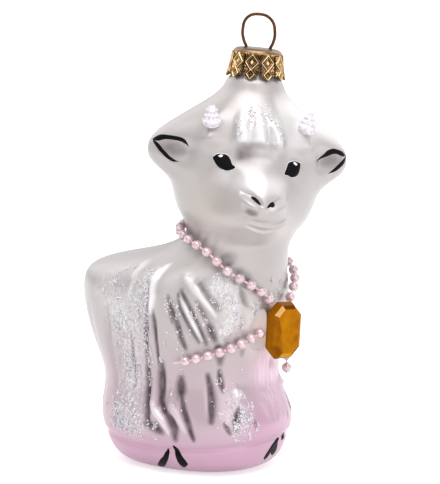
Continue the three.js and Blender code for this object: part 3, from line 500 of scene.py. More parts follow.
def merge_and_turn_out(piece, gap=2e-6):
    """Doubles are merged and faces turned outwards, which the sign of the volume confirms."""
    bpy.context.view_layer.objects.active = piece
    bpy.ops.object.mode_set(mode="EDIT")
    bpy.ops.mesh.select_all(action="SELECT")
    bpy.ops.mesh.remove_doubles(threshold=gap)
    bpy.ops.mesh.normals_make_consistent(inside=False)
    bpy.ops.object.mode_set(mode="OBJECT")
    bpy.ops.object.shade_smooth()
    piece.data.calc_loop_triangles()
    places = np.array([v.co for v in piece.data.vertices])
    a, b, c = places[np.array([t.vertices for t in piece.data.loop_triangles])].transpose(1, 0, 2)
    if (a * np.cross(b, c)).sum() < 0:
        piece.data.flip_normals()


def hand_in(piece, body, slot, finish, *nodes):
    """The piece gets its finish, rides on its body and stands for its CAD nodes."""
    piece.data.materials.clear()
    piece.data.materials.append(finish)
    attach(piece, body)
    if nodes:
        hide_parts(*nodes)
    return piece


print("helpers ready")

# %% Levels of the glass from the middle of the foot, up the outside and down the inside
FOOT_ROWS, SIDES = 4, 304
INNER_FLOOR = 2.2
LEVELS = np.concatenate([
    np.linspace(0, 3, 10)[:-1], np.linspace(3, 48, 88)[:-1], np.linspace(48, 57, 34)[:-1],
    np.linspace(57, 62, 14)[:-1], np.linspace(62, 91, 104)[:-1], np.linspace(91, PIKE_RIM, 30),
])
INNER_LEVELS = np.concatenate([
    np.linspace(PIKE_RIM, 92, 7)[:-1], np.linspace(92, 48, 15)[:-1], np.linspace(48, INNER_FLOOR, 18),
])
TURN_OVER = 300     # rows of the inside count down from this
ROWS = np.concatenate([
    np.linspace(-1, 0, FOOT_ROWS)[:-1], LEVELS, TURN_OVER - INNER_LEVELS, [TURN_OVER + 1],
])
SILVER_WALL, PIKE_WALL = 1.4, 0.8


def side_angle(u):
    """Columns lie closer together towards the face."""
    return 360 * u - np.degrees(0.25 * np.sin(2 * math.pi * u))


def glass_shape(u, v):
    """Points of the skin: rows below 0 are the foot, and rows over the rim are the inside."""
    row = np.interp(v, np.linspace(0, 1, len(ROWS)), ROWS)
    azimuth = side_angle(u)
    points = glass_point(azimuth, np.clip(row, 0, PIKE_RIM))
    foot = row < 0
    points[foot] *= (1 + row[foot])[:, None]
    inside = row > PIKE_RIM + 1e-6
    level = np.clip(TURN_OVER - row[inside], INNER_FLOOR, PIKE_RIM)
    dish = mound((EAR_DISH, 70, 18, EAR_LEVEL - 0.6, 7), np.abs(wrap(azimuth[inside] - FACE_TURN)), level)
    wall = SILVER_WALL + dish + (PIKE_WALL - SILVER_WALL) * smooth(level, 90, SEAT_LEVEL + 3)
    points[inside] = on_glass(azimuth[inside], level, -wall, False)
    pole = row > TURN_OVER + 0.5
    points[pole] = (0, 0, points[inside][:, 2].min())
    return points


print(len(ROWS), "rows of", SIDES, "squares")

# %% [markdown]
# ## Where the finish changes
# Pearl lacquer was sprayed over silvering, and it is thin where the coat is carved deep, so the silvering
# shows there in streaks, painted dark as a painted reflection. Painted shade darkens the brow recess, the
# nose fold, the ears and parts of flank and brow, and painted warm shade lies under the chin. Painted
# highlights lighten the ridges, forelock, nose bridge and crown. Pink was sprayed from below, and white paste
# was brushed on under the glitter. These are numbers from 0 to 1 stored on the skin, which the material then
# reads.

# %% Bare silvering with painted shade, painted highlights and frosted places
# Bare silvering in the carved coat, painted dark as a painted reflection. Strength and width of each stroke,
# and its route: degrees from the chest, and height
STREAKS = [
    (0.8, 0.6, [(92.7, 40.3), (93.6, 37.5), (95.1, 35.2), (95.6, 31), (95.2, 26.5)]),
    (0.95, 1.0, [(95.2, 27.5), (95.8, 23.5), (95.3, 20.3), (94.8, 17.8), (93, 15), (91.3, 13.2)]),
    (0.9, 0.95, [(94, 12.9), (87.2, 12.3), (80.6, 11.2)]),
    (0.95, 0.45, [(86.7, 41.6), (86.7, 37.8), (86.5, 33.7), (85.5, 29.4), (84.7, 27.2)]),
    (1.0, 1.3, [(82.2, 28), (83.1, 23.9), (83.8, 20.7), (83.7, 18)]),
    (1.0, 0.9, [(83.7, 19), (80.3, 16.5), (76.6, 15.1)]),
    (1.0, 1.1, [(78, 15.6), (74.1, 14.3), (70.9, 12.4), (70.2, 10)]),
    (1.0, 1.35, [(66.7, 24.6), (67.2, 20.4)]),
    (1.0, 0.85, [(66.8, 21), (64.8, 17.4), (62.3, 14.9), (59.6, 12.2)]),
    (1.0, 0.65, [(62.3, 14.9), (60.2, 12.8), (57.2, 10)]),
    (1.0, 0.85, [(47.6, 25.8), (45.7, 22.7), (45.2, 20.3), (45.6, 17.7), (46.4, 14.8)]),
    (0.8, 0.7, [(75.4, 45.4), (73.5, 42.1), (71.8, 39)]),
    (1.0, 0.75, [(72, 42), (68.5, 38.3), (66, 35.1), (62.8, 32.6)]),
    (0.3, 2.0, [(72, 44), (64, 40), (56, 36), (50, 33.5)]),
    (0.95, 0.75, [(66, 46.8), (61.5, 43.5), (55.4, 38.7), (51.5, 35.8), (49, 33.8)]),
    (0.9, 0.5, [(67.8, 46), (66, 42.4), (61, 38.7), (56.5, 35.9), (53.8, 34.2)]),
    (0.7, 0.7, [(55, 44.2), (51, 41.1), (47, 38.1)]),
    (0.9, 1.0, [(47.6, 38.6), (45.4, 36.4), (43.4, 34.8)]),
    (0.7, 0.8, [(54, 48.4), (51.2, 47.2), (45.6, 44.6), (41.5, 42.4)]),
    (0.6, 0.7, [(28, 47.4), (24.8, 44.2), (22, 42.6)]),
    (0.9, 0.75, [(39.8, 26.8), (38.8, 24.6), (37.6, 22)]),
    (1.0, 1.0, [(28.4, 17.2), (30, 15.2), (31.6, 13)]),
    (0.9, 0.55, [(38.6, 14.3), (35.2, 11.8)]),
    (0.55, 0.5, [(18.2, 14.4), (17.2, 12.4)]),
    (0.85, 1.1, [(41, 33), (39.9, 31.4), (39.4, 29)]),
    (0.5, 0.9, [(23.8, 32.8), (24, 30.6)]),
    (0.7, 0.5, [(107.6, 35), (108.1, 32.3), (109.5, 29), (108.5, 25), (107.8, 21)]),
    (0.4, 0.7, [(126.7, 41), (127.3, 35.9), (129.2, 32)]),
    (0.55, 1.4, [(64, 55), (55, 54), (46, 52.8)]),
    (0.6, 0.9, [(40, 51.8), (31.6, 51.2), (25, 50), (14, 46.4)]),
]
# Painted highlights along the ridges, with the same numbers as the streaks
PAINTED_HIGHLIGHTS = [
    (1.0, 1.05, [(99, 52.2), (93, 50.4), (88.6, 48.5), (87.2, 45.1), (88.2, 41)]),
    (0.5, 0.7, [(127, 52.8), (113.4, 50.9), (106, 48.2), (108, 44.4)]),
    (0.8, 0.75, [(68, 50), (61.2, 48.7), (53.2, 45.9), (48.1, 43.3), (43.2, 40.4)]),
    (0.95, 0.5, [(66.4, 45.2), (62.8, 42.9), (58.9, 40), (55, 37.1), (51.4, 34.4)]),
    (0.8, 0.7, [(90.2, 18.6), (87.1, 16.2), (83, 14.9), (79, 13.4), (75, 11)]),
    (0.45, 0.9, [(74.8, 18.4), (69.7, 15.8), (65.8, 13.6), (63.4, 11.8)]),
    (0.85, 1.3, [(27.8, 21.8), (27, 20.2)]),
]
# Degrees from the chest, height, half width, half height and strength of each patch
FROSTED = [
    (112, 38, 16, 9, 0.75), (112, 22, 14, 8, 0.7), (106, 13.5, 13, 4, 0.8), (97, 48, 8, 4, 0.7),
    (130, 46, 10, 5, 0.5), (37.5, 36.8, 4.5, 3.2, 1.1), (29.4, 39.8, 4.5, 3.4, 0.8), (42, 48, 8, 3.2, 0.9),
    (33, 44, 6, 5, 0.5), (29, 16.5, 9, 5, 0.7),
]
print(len(STREAKS), "worn streaks,", len(PAINTED_HIGHLIGHTS), "bright ones and", len(FROSTED), "frosted patches")

# %% Sprinkled places
# Strokes and patches of glitter, with the same numbers as the streaks and the frosted patches
SPRINKLED = [
    (1.0, 1.1, [
        (100, 50.6), (96, 48.4), (93.5, 45), (92.5, 41.5), (94, 37.5), (95.5, 34), (93.5, 30), (93, 27),
    ]),
    (0.5, 0.9, [(108, 34.4), (109, 29), (108.2, 22)]),
    (0.5, 0.8, [(76, 45.4), (74, 41), (69, 36.5)]),
    (0.12, 0.9, [(62, 44), (56, 39.5), (51, 36)]),
    (0.3, 1.0, [(54, 43.5), (48, 39), (44.5, 36)]),
    (0.6, 1.7, [(46, 49), (39.5, 48), (37.5, 45.5), (36, 43.5), (32, 41.5), (28.5, 39)]),
    (0.5, 1.3, [(44, 46), (41, 43.4)]),
    (1.0, 0.5, [(39.5, 26), (38, 22.8)]),
    (0.5, 0.8, [(94, 14.5), (91, 13), (86, 12.4), (82, 11.6)]),
    (0.45, 0.6, [(95.5, 25), (95.5, 17)]),
    (0.25, 0.5, [(45.4, 20), (45.6, 17.6)]),
]
SCATTERED = [
    (30, 18.6, 8, 4, 0.4), (33, 12.4, 7, 2, 0.4), (24, 14, 5, 4, 0.5), (120, 14, 9, 3.5, 0.9),
    (112, 24, 8, 8, 0.45), (104, 12.5, 8, 3, 0.5), (112, 38, 12, 8, 0.25), (66, 40, 16, 7, 0.06),
    (84, 20, 14, 8, 0.04), (100, 40, 6, 6, 0.4), (2, 46, 5, 2.6, 0.35), (18, 41.5, 3, 2.6, 0.4),
]


def patches(spots, away, level):
    """Sum of soft round patches."""
    return sum(share * hill(away, b, wide, level, h, tall) for b, h, wide, tall, share in spots)


def lines(strokes, away, level, taper, spread=1.0):
    """The strongest of a set of strokes."""
    each = []
    for share, width, route in strokes:
        each.append(share * stroke(away, level, route, spread * width, FLANK_ARC, taper))
    return np.max(each, 0)


def frosting(azimuth, level):
    """How much white paste lies at a place."""
    away = np.abs(wrap(azimuth - BODY_TURN))
    f = wrap(azimuth - FACE_TURN)
    lock = 0.8 * hill(f, -3, 24, level, 87.4, 3.4)
    return np.clip(patches(FROSTED, away, level) * (1 - smooth(level, 52, 56)) + lock, 0, 1)


def sprinkling(azimuth, level):
    """How thick the flakes lie at a place."""
    away = np.abs(wrap(azimuth - BODY_TURN))
    coat = np.maximum(lines(SPRINKLED, away, level, 0.2), patches(SCATTERED, away, level))
    f = wrap(azimuth - FACE_TURN)
    ring = np.hypot((f + 2.5) / 25, (level - 85.6) / np.where(level > 85.6, 5.2, 3.6))
    edge = 0.9 * np.exp(-((ring - 0.86) / 0.2) ** 2) * smooth(level, 82, 85)
    lock = edge + mound((0.8, -3, 15, 88.6, 1.6), f, level)
    return np.clip(coat * (1 - smooth(level, 54, 57)), 0, 1.2) + lock * smooth(level, 80, 82)


print(len(SPRINKLED), "sprinkled strokes and", len(SCATTERED), "scattered patches")


# %% Finish of each point
def bare_silver_and_painted_shade(f, away, row):
    """Bare silvering in the streaks, as a painted dark reflection, and painted shade in brow recess, nose
    fold, ears, flank and brow.
    """
    streaks = lines(STREAKS, away, row, 0.2, 1.3) * (1 - smooth(row, 57, 59))
    recess = 0.7 * between(f, -32, -17, -20, 8) * between(row, 75.6, 79.4, 81, 82.8)
    fold = 0.7 * stroke(f, row, [(-11, 67.6), (-6.2, 66.9), (-2.8, 67)], 0.6, FACE_ARC, 0.6)
    ears = mound((0.66, 75, 7, EAR_LEVEL - 0.3, 2.2), np.abs(f), row)
    flank = mound((0.36, 120, 18, 27, 14), away, row)
    brow = mound((0.3, -48, 20, 90, 4.5), f, row)
    return np.max([streaks, recess, fold, ears, flank, brow], 0)


def painted_light_places(f, b, row):
    """Painted highlights and painted light: ridges, chest, forelock, nose bridge, crown, chin, shoulder and
    cheek.
    """
    away = np.abs(b)
    ridges = lines(PAINTED_HIGHLIGHTS, away, row, 0.4) * (1 - smooth(row, 57, 59))
    places = [ridges, mound((0.6, -16, 9, 38, 7), b, row)]
    for lock in LOCKS:
        places.append(0.7 * np.exp(-across_lock(f, row, lock) ** 2.6 - ((row - lock[3]) / 3) ** 2))
    places.append(0.55 * (1 - smooth(off_bridge(f, row), 6, 42)) * between(row, 69, 74, 73.5, 77.4))
    places.append(0.5 * between(row, 79, 88, 91, 97) * smooth(f, 14, 30))
    places.append(mound((0.4, -14, 38, 60.5, 4), f, row))
    places.append(mound((0.35, 76, 10, 48.5, 4), away, row))
    places.append(mound((0.4, -31, 12, 74.3, 2.6), f, row))
    return np.max(places, 0)


def glass_finish(u, v):
    """Silvering and painted shade, painted light, pink, painted warm shade, frost and combing of each point.
    """
    row = np.clip(np.interp(v, np.linspace(0, 1, len(ROWS)), ROWS), 0, PIKE_RIM)
    azimuth = side_angle(u)
    b, f = wrap(azimuth - BODY_TURN), wrap(azimuth - FACE_TURN)
    silver_and_painted_shade = bare_silver_and_painted_shade(f, np.abs(b), row)
    chest = hill(b, 8, 20, row, 24, 11)
    pink = 0.55 * (1 - smooth(row, 8, 46)) + 0.6 * chest + 0.55 * (1 - smooth(row, 5, 12))
    pink = pink + mound((0.5, -12, 12, 12.5, 4), b, row) + mound((0.55, 22, 26, 13, 7), b, row)
    # Painted warm shade under the chin and on the lower cheek, and a warm tint beside the stone
    shade = mound((0.5, -20, 46, 60.5, 5.2), f, row) + mound((0.6, -44, 20, 66, 6), f, row)
    shade = shade + hill(b, -20, 9, row, 38, 8)
    return {
        "silver_and_painted_shade": silver_and_painted_shade, "painted_light": painted_light_places(f, b, row), "combed": chest,
        "pink": np.clip(pink, 0, 1), "shade": np.clip(shade, 0, 1),
        "frost": frosting(azimuth, row) * (1 - 0.8 * np.clip(2 * silver_and_painted_shade - 0.6, 0, 1)),
    }


glass = wrapped_grid("goat_glass", SIDES, len(ROWS) - 1, glass_shape, glass_finish)
print("glass:", len(glass.data.polygons), "faces")

# %% [markdown]
# ## Pearl lacquer
# The lacquer is pale and slightly metallic, with fine flakes in it, under a soft clear coat. One shader does
# this: the stored numbers, painted shade and painted highlights among them, move its colour and its metal
# share, and noise makes the tiny unevenness.

# %% Finish helpers
NOISE_RANGE = (0.3, 0.7)    # where most values of a noise lie


def stored(tree, name, output="Fac"):
    """A value that was stored on the mesh."""
    return add(tree, "ShaderNodeAttribute", attribute_name=name), output


def blend_colour(tree, below, colour, share):
    """A colour laid over another by a share. The colours are socket pairs or plain ones."""
    mix = add(tree, "ShaderNodeMix", data_type="RGBA")
    wire(tree, share, (mix, 0))
    for socket, value in ((6, below), (7, colour)):
        if isinstance(value[0], float):
            mix.inputs[socket].default_value = (*value, 1)
        else:
            wire(tree, value, (mix, socket))
    return mix, 2


def object_noise(tree, scale, detail=3, rough=0.55, distort=0, stretch=None):
    """Noise on the piece's own coordinates, which may be stretched by a scale for each axis."""
    made = add(tree, "ShaderNodeTexNoise", {"Scale": scale, "Detail": detail, "Roughness": rough})
    made.inputs["Distortion"].default_value = distort
    source = (add(tree, "ShaderNodeTexCoord"), "Object")
    if stretch:
        axes = add(tree, "ShaderNodeMapping", {"Scale": stretch})
        wire(tree, source, (axes, 0))
        source = (axes, 0)
    wire(tree, source, (made, "Vector"))
    return made, 0


print("finish helpers ready")

# %% Pearl lacquer
PEARL_DARK, PEARL_PALE = (0.412, 0.382, 0.376), (0.478, 0.448, 0.442)
PINK, CHEST_PINK, COMBED_PINK = (0.54, 0.32, 0.44), (0.78, 0.57, 0.68), (0.92, 0.82, 0.88)
WARM_SHADE, PAINTED_SHADE_SILVER = (0.5, 0.42, 0.37), (0.055, 0.033, 0.042)
PASTE_WHITE, HIGHLIGHT_PEARL = (0.8, 0.79, 0.81), (0.92, 0.91, 0.92)
pearl, tree, shader = finish_nodes("pearl_lacquer", {"Coat Weight": 0.15, "Coat Roughness": 0.3})
mottle = object_noise(tree, 260)
cloud = object_noise(tree, 380, 2)
speck = object_noise(tree, 1700, 2)
feather = object_noise(tree, 1, 5, 0.7, 1.2, stretch=(900, 900, 700))
hair = object_noise(tree, 1, 2, 0.5, stretch=(1500, 1500, 45))
silver_and_painted_shade, chest = stored(tree, "silver_and_painted_shade"), stored(tree, "combed")
base = blend_colour(tree, PEARL_DARK, PEARL_PALE, mottle)
base = blend_colour(tree, base, PINK, ranged(tree, stored(tree, "pink"), 0, 1, 0, 0.92))
# Painted warm shade under the chin and on the lower cheek
base = blend_colour(tree, base, WARM_SHADE, ranged(tree, stored(tree, "shade"), 0, 1, 0, 0.6))
base = blend_colour(tree, base, CHEST_PINK, ranged(tree, chest, 0.1, 0.8, 0, 0.5))
hairy = ranged(tree, hair, 0.42, 0.62, 0, 1)
combed = combined(tree, "MULTIPLY", hairy, ranged(tree, chest, 0.2, 0.9, 0, 0.38))
base = blend_colour(tree, base, COMBED_PINK, combed)
# Silvering painted dark as a painted reflection, and painted shade in recesses, creases and ears
cloudy = ranged(tree, cloud, 0.3, 0.55, 0.75, 1)
painted_shade_or_wear = combined(tree, "MULTIPLY", ranged(tree, silver_and_painted_shade, 0.14, 0.85, 0, 0.95), cloudy)
base = blend_colour(tree, base, PAINTED_SHADE_SILVER, painted_shade_or_wear)
frost = ranged(tree, stored(tree, "frost"), 0.1, 0.8, 0, 1)
paste = combined(tree, "MULTIPLY", frost, ranged(tree, feather, 0.4, 0.6, 0.2, 0.95))
paste = combined(tree, "MULTIPLY", paste, ranged(tree, speck, 0.42, 0.58, 0.4, 1))
base = blend_colour(tree, base, PASTE_WHITE, paste)
# Painted highlights and painted light lift the colour towards pale pearl
painted_light = ranged(tree, stored(tree, "painted_light"), 0.08, 1.0, 0, 0.85)
base = blend_colour(tree, base, HIGHLIGHT_PEARL, painted_light)
wire(tree, base, (shader, "Base Color"))
wire(tree, ranged(tree, silver_and_painted_shade, 0.2, 0.8, 0.36, 0.5), (shader, "Metallic"))
wire(tree, ranged(tree, mottle, *NOISE_RANGE, 0.33, 0.41), (shader, "Roughness"))
bump = add(tree, "ShaderNodeBump", {"Strength": 0.25, "Distance": 0.0002})
wire(tree, paste, (bump, "Height"))
wire(tree, (bump, 0), (shader, "Normal"))
hand_in(glass, "glass", "pearl_glass", pearl, "glass_body")
print("pearl lacquer on", glass.name)

# %% [markdown]
# ## Painted eyes, nostrils, ears and hooves
# The black marks are enamel, laid on by brush, so each is a thin drop with a rounded edge. A texture could
# draw them, but a real drop catches the light. Spots are lens shapes grown from their middle, and brush
# lines are ribbons between two edges.

# %% Enamel spots
TOP_SHARE, SKIM, SINK = 0.7, 0.03, 0.12     # share of the rows on top, least height, and depth in the glass


def through(a, b, c, d, s):
    """A smooth line from b to c, with a before them and d after them."""
    square, cube = 2 * a - 5 * b + 4 * c - d, 3 * b - a - 3 * c + d
    return 0.5 * (2 * b + (c - a) * s + square * s ** 2 + cube * s ** 3)


def closed_curve(points, u):
    """A smooth closed line through points, for u from 0 to 1."""
    points = np.array(points, float)
    t = (u % 1) * len(points)
    i = np.floor(t).astype(int)
    a, b, c, d = [points[(i + k) % len(points)] for k in (-1, 0, 1, 2)]
    return through(a, b, c, d, (t - i)[:, None])


def enamel_spot(name, outline, turn, thick, grow=1.0, over=0.0):
    """A thin drop of paint inside an outline: degrees from a heading, and height."""
    middle = np.mean(outline, 0)

    def drop(u, v):
        edge = closed_curve(outline, u)
        share = np.where(v < TOP_SHARE, v / TOP_SHARE, (1 - v) / (1 - TOP_SHARE))
        at = middle + (edge - middle) * (grow * share)[:, None]
        dome = over + SKIM + thick * np.sqrt(np.clip(1 - share ** 3, 0, 1))
        lift = np.where(v < TOP_SHARE - 1e-6, dome, np.where(v < TOP_SHARE + 0.01, 0.0, -SINK))
        return on_glass(turn + at[:, 0], at[:, 1], lift)

    return wrapped_grid(name, 44, 10, drop)


print("spots ready")


# %% Enamel brush lines
def open_curve(points, u):
    """A smooth line through points, evenly spread by their number."""
    points = np.array(points, float)
    points = np.vstack([2 * points[0] - points[1], points, 2 * points[-1] - points[-2]])
    t = np.clip(u, 0, 1) * (len(points) - 3)
    i = np.minimum(np.floor(t).astype(int), len(points) - 4)
    a, b, c, d = [points[i + k] for k in range(4)]
    return through(a, b, c, d, (t - i)[:, None])


def enamel_line(name, edge, other_edge, turn, thick, broad=1.0):
    """A brush line between two edges, drawn to a point at both ends."""

    def ribbon(u, v):
        one, two = open_curve(edge, v), open_curve(other_edge, v)
        full = np.sqrt(np.clip(1 - np.abs(2 * v - 1) ** 6, 0, 1))
        angle = 2 * math.pi * u
        at = (one + two) / 2 + (one - two) / 2 * (broad * np.cos(angle) * full)[:, None]
        lift = np.where(np.sin(angle) > 0, SKIM + thick * np.sin(angle), SINK * np.sin(angle)) * full
        return on_glass(turn + at[:, 0], at[:, 1], lift)

    return wrapped_grid(name, 16, 36, ribbon)


print("brush lines ready")


# %% Enamel finishes
def mottled_finish(name, scale, dark, pale, values=None, rough=None, detail=3, spread=(0, 1)):
    """A finish that wanders between two colours, and between two roughnesses if given, with one noise."""
    finish, tree, shader = finish_nodes(name, values)
    noise = object_noise(tree, scale, detail)
    tone = blend_colour(tree, dark, pale, ranged(tree, noise, *spread, 0, 1))
    wire(tree, tone, (shader, "Base Color"))
    if rough:
        wire(tree, ranged(tree, noise, *NOISE_RANGE, *rough), (shader, "Roughness"))
    return finish


black = mottled_finish(
    "black_enamel", 900, (0.002, 0.002, 0.003), (0.006, 0.006, 0.007),
    {"Specular IOR Level": 0.06}, rough=(0.3, 0.42),
)
white = mottled_finish("white_enamel", 900, (0.86, 0.86, 0.86), (0.95, 0.95, 0.95), rough=(0.2, 0.35))
print("black and white enamel")

# %% Eyes
# Outlines: degrees from the face, and height
EYES = {
    "right": [
        (-44.5, 78.3), (-43.1, 78.9), (-40, 79.4), (-35.6, 79.5), (-31.7, 79.2), (-28.7, 78.3), (-26.6, 77.4),
        (-23.3, 76.8), (-25.5, 76.2), (-30.1, 75.8), (-34.6, 76), (-38.6, 76.5), (-42.1, 77.4),
    ],
    "left": [
        (32.3, 78.8), (37.3, 79), (41.2, 78.7), (43.1, 78.4), (42.2, 77.2), (39.7, 76), (36.1, 75.4),
        (32, 75.3), (28.3, 75.7), (24.4, 76), (27.5, 77.3), (29.8, 78.4),
    ],
}
GLINTS = {
    "right": [(-40.3, 78.9), (-38.2, 79.35), (-35.9, 79.2), (-37.4, 78.65)],
    "left": [(34.9, 78.75), (37.2, 78.75), (39.2, 78.2), (37.4, 78), (35.4, 78.3)],
}
for side, outline in EYES.items():
    rim = enamel_spot(f"eye_rim_{side}", outline, FACE_TURN, thick=0.02, grow=1.12)
    hand_in(rim, "glass", "pearl_glass", white)
    eye = enamel_spot(f"eye_{side}", outline, FACE_TURN, thick=0.12, grow=1.06, over=0.02)
    hand_in(eye, "glass", "pearl_glass", black)
    glint = enamel_spot(f"glint_{side}", GLINTS[side], FACE_TURN, thick=0.1, grow=1.05, over=0.1)
    hand_in(glint, "glass", "pearl_glass", white)
print("two eyes with rims and glints")

# %% Nostrils
NOSTRILS = {
    "right": [(-8.2, 70.6), (-5.9, 70.8), (-3.3, 70.2), (-0.8, 69), (-2.3, 69.05), (-5.2, 69.7)],
    "left": [(2.3, 68.5), (4.6, 69.6), (7, 69.9), (8.5, 69.6), (8.2, 69.1), (6.7, 68.7), (5, 68.75)],
}
for side, outline in NOSTRILS.items():
    nostril = enamel_spot(f"nostril_{side}", outline, FACE_TURN, thick=0.06)
    hand_in(nostril, "glass", "pearl_glass", black)
print("two nostrils")

# %% Ear lines
# The two edges of each brush line
EAR_LINES = {
    "ear_right_upper": (
        [(-87, 80.9), (-83.3, 81.9), (-78.5, 82.2), (-73, 82.1), (-69.5, 81.6), (-67, 80)],
        [(-87, 80.8), (-82.7, 80.8), (-78.5, 81.45), (-73, 81.4), (-69.8, 80.9), (-67, 80)],
    ),
    "ear_right_lower": (
        [(-87, 80.9), (-82.7, 79.5), (-79.6, 78.1), (-76.4, 76.8), (-73.6, 76.2), (-70.4, 76.3)],
        [(-86.6, 81), (-81.8, 80), (-78.8, 78.6), (-75.6, 77.2), (-72.8, 76.5), (-70.4, 76.3)],
    ),
    "ear_left_upper": (
        [(64.3, 78.6), (70.3, 80.3), (72.6, 81.4), (75.8, 81.9), (78.7, 81.7), (82.1, 81.2), (85.1, 80.3)],
        [(64.3, 78.5), (71.3, 79.9), (74, 80.6), (76, 80.95), (78.2, 80.9), (81.6, 80.3), (85.1, 80.3)],
    ),
    "ear_left_lower": (
        [(85.1, 80.3), (83.2, 78.9), (80.2, 77.7), (76.9, 76.6), (72.7, 75.9)],
        [(85.1, 80.3), (81.8, 79.3), (78.8, 78.1), (76.1, 77), (72.7, 76)],
    ),
}
for name, (edge, other_edge) in EAR_LINES.items():
    line = enamel_line(name, edge, other_edge, FACE_TURN, thick=0.1, broad=1.4)
    hand_in(line, "glass", "pearl_glass", black)
print(len(EAR_LINES), "ear lines")

# %% Hooves
# Outlines: degrees from the chest, and height. The hind ones are laid on both flanks.
HOOF_SPOTS = {
    "hoof_hind_back": [
        (78.1, 6.8), (81.4, 5.1), (86.1, 3.8), (92.2, 2.1), (94.8, 1.2), (87.2, 1.5), (80.5, 3.4), (77.5, 5.3),
    ],
    "hoof_hind_front": [
        (72.4, 7.8), (69.6, 7.3), (66.8, 5.7), (63.7, 4.1), (62.6, 3.2), (65.8, 2.2), (68.7, 2.7), (70.4, 3.8),
        (71.6, 5.8),
    ],
}
FRONT_HOOVES = {
    "hoof_front_right": [(7.1, 7.9), (1.8, 7.3), (-1.9, 5.7), (-3.7, 4.1), (-1, 3.5), (1.1, 4.9), (3.9, 6.5)],
    "hoof_front_middle": [(4.8, 7.7), (1.9, 6.2), (2.6, 4.7), (6, 4), (8, 4.9), (7.1, 6.3)],
    "hoof_front_left": [(17.4, 8.6), (12.6, 8.1), (12.2, 7.3), (15.5, 7.5)],
}
for name, outline in HOOF_SPOTS.items():
    for side, way in (("right", -1), ("left", 1)):
        mirrored = [(way * b, h) for b, h in outline][::-way]
        spot = enamel_spot(f"{name}_{side}", mirrored, BODY_TURN, thick=0.12, grow=1.08)
        hand_in(spot, "glass", "pearl_glass", black)
for name, outline in FRONT_HOOVES.items():
    spot = enamel_spot(name, outline, BODY_TURN, thick=0.1, grow=1.2)
    hand_in(spot, "glass", "pearl_glass", black)
print(len(HOOF_SPOTS) * 2 + len(FRONT_HOOVES), "hoof marks")

# %% [markdown]
# ## Horns
# Each horn is a little cone of white paste with three coiled tiers, rolled in glitter. A grid is wrapped to
# a tiered outline, rounded with subdivision and roughened with a cloud displacement, as paste dries lumpy.

# %% Horns
HORN_RADIUS, HORN_HEIGHT, HORN_ROOT, HORN_TIERS = 2.5, 3.8, 1.4, 3
HORN_SPLAY, HORN_INSET, HORN_LIFT = 0.18, 0.2, 0.4
LUMP_SIZE, LUMP_HEIGHT = 0.0011, 0.00035
crust = mottled_finish(
    "glitter_crust", 1500, (0.62, 0.56, 0.63), (0.9, 0.88, 0.92),
    rough=(0.65, 0.4), detail=4, spread=(0.38, 0.62),
)
clouds = bpy.data.textures.new("dried_paste", "CLOUDS")
clouds.noise_scale = LUMP_SIZE


def horn_place(side):
    """Root and axis of a horn, in millimetres."""
    azimuth = FACE_TURN + side * STUB_TURN
    out = np.array([math.sin(math.radians(azimuth)), -math.cos(math.radians(azimuth)), 0])
    axis = np.array([math.sin(math.radians(LEAN)), 0, math.cos(math.radians(LEAN))]) + HORN_SPLAY * out
    axis /= np.linalg.norm(axis)
    root = glass_point(azimuth, STUB_LEVEL) - HORN_INSET * out + HORN_LIFT * axis
    return Vector(root * MM), Vector(axis)


def standing(place, axis):
    """Moves a piece to a place, and turns its Z axis along another one."""
    return Matrix.Translation(place) @ Vector((0, 0, 1)).rotation_difference(axis).to_matrix().to_4x4()


def apply_all(piece):
    """Every modifier of a piece is applied."""
    take(piece)
    for modifier in list(piece.modifiers):
        bpy.ops.object.modifier_apply(modifier=modifier.name)


def settle(piece):
    """The object's place is moved into its mesh."""
    take(piece)
    bpy.ops.object.transform_apply(location=True, rotation=True, scale=True)


print("horn crust ready")


# %% Horn shape
def horn(name, side):
    """A tiered cone on its stub."""
    tier = HORN_HEIGHT / (HORN_TIERS + 0.2)
    outline = [(0, -HORN_ROOT), (HORN_RADIUS * 0.75, -HORN_ROOT * 0.9)]
    outline += [(HORN_RADIUS * 0.95, -HORN_ROOT * 0.3)]
    for k in range(HORN_TIERS):
        wide = HORN_RADIUS * (1 - 0.62 * k / HORN_TIERS)
        outline += [(wide, (k + 0.3) * tier), (wide - HORN_RADIUS * 0.3, (k + 0.97) * tier)]
    outline += [(HORN_RADIUS * 0.24, HORN_HEIGHT * 0.99), (0, HORN_HEIGHT)]
    outline = np.array(outline)

    def cone(u, v):
        t = v * (len(outline) - 1)
        r = np.interp(t, range(len(outline)), outline[:, 0])
        tilt = 0.18 * np.sin(2 * math.pi * u) * (r / HORN_RADIUS)
        z = np.interp(t, range(len(outline)), outline[:, 1]) + tilt
        return np.stack([r * np.cos(2 * math.pi * u), r * np.sin(2 * math.pi * u), z], -1)

    piece = wrapped_grid(name, 26, 2 * (len(outline) - 1), cone)
    piece.matrix_world = standing(*horn_place(side))
    settle(piece)
    round_off = piece.modifiers.new("round_off", "SUBSURF")
    round_off.levels = round_off.render_levels = 2
    lumpy = piece.modifiers.new("lumpy", "DISPLACE")
    lumpy.texture, lumpy.strength, lumpy.mid_level = clouds, LUMP_HEIGHT, 0.5
    apply_all(piece)
    return piece


horns = [horn("horn_crust_right", -1), horn("horn_crust_left", 1)]
for piece, node in zip(horns, ("horn_right", "horn_left")):
    hand_in(piece, "glass", "glitter_paste", crust, node)
print("two horns of", len(horns[0].data.polygons), "faces")

# %% [markdown]
# ## Glitter
# The glitter is thousands of tiny cut hexagons in clear glue, lying every way, most of them white with
# sparks of pink, violet and green. A texture would lie flat, so each flake is real: one low cone of six
# sides is modelled and laid out on the sprinkled places, all in one mesh for each patch.

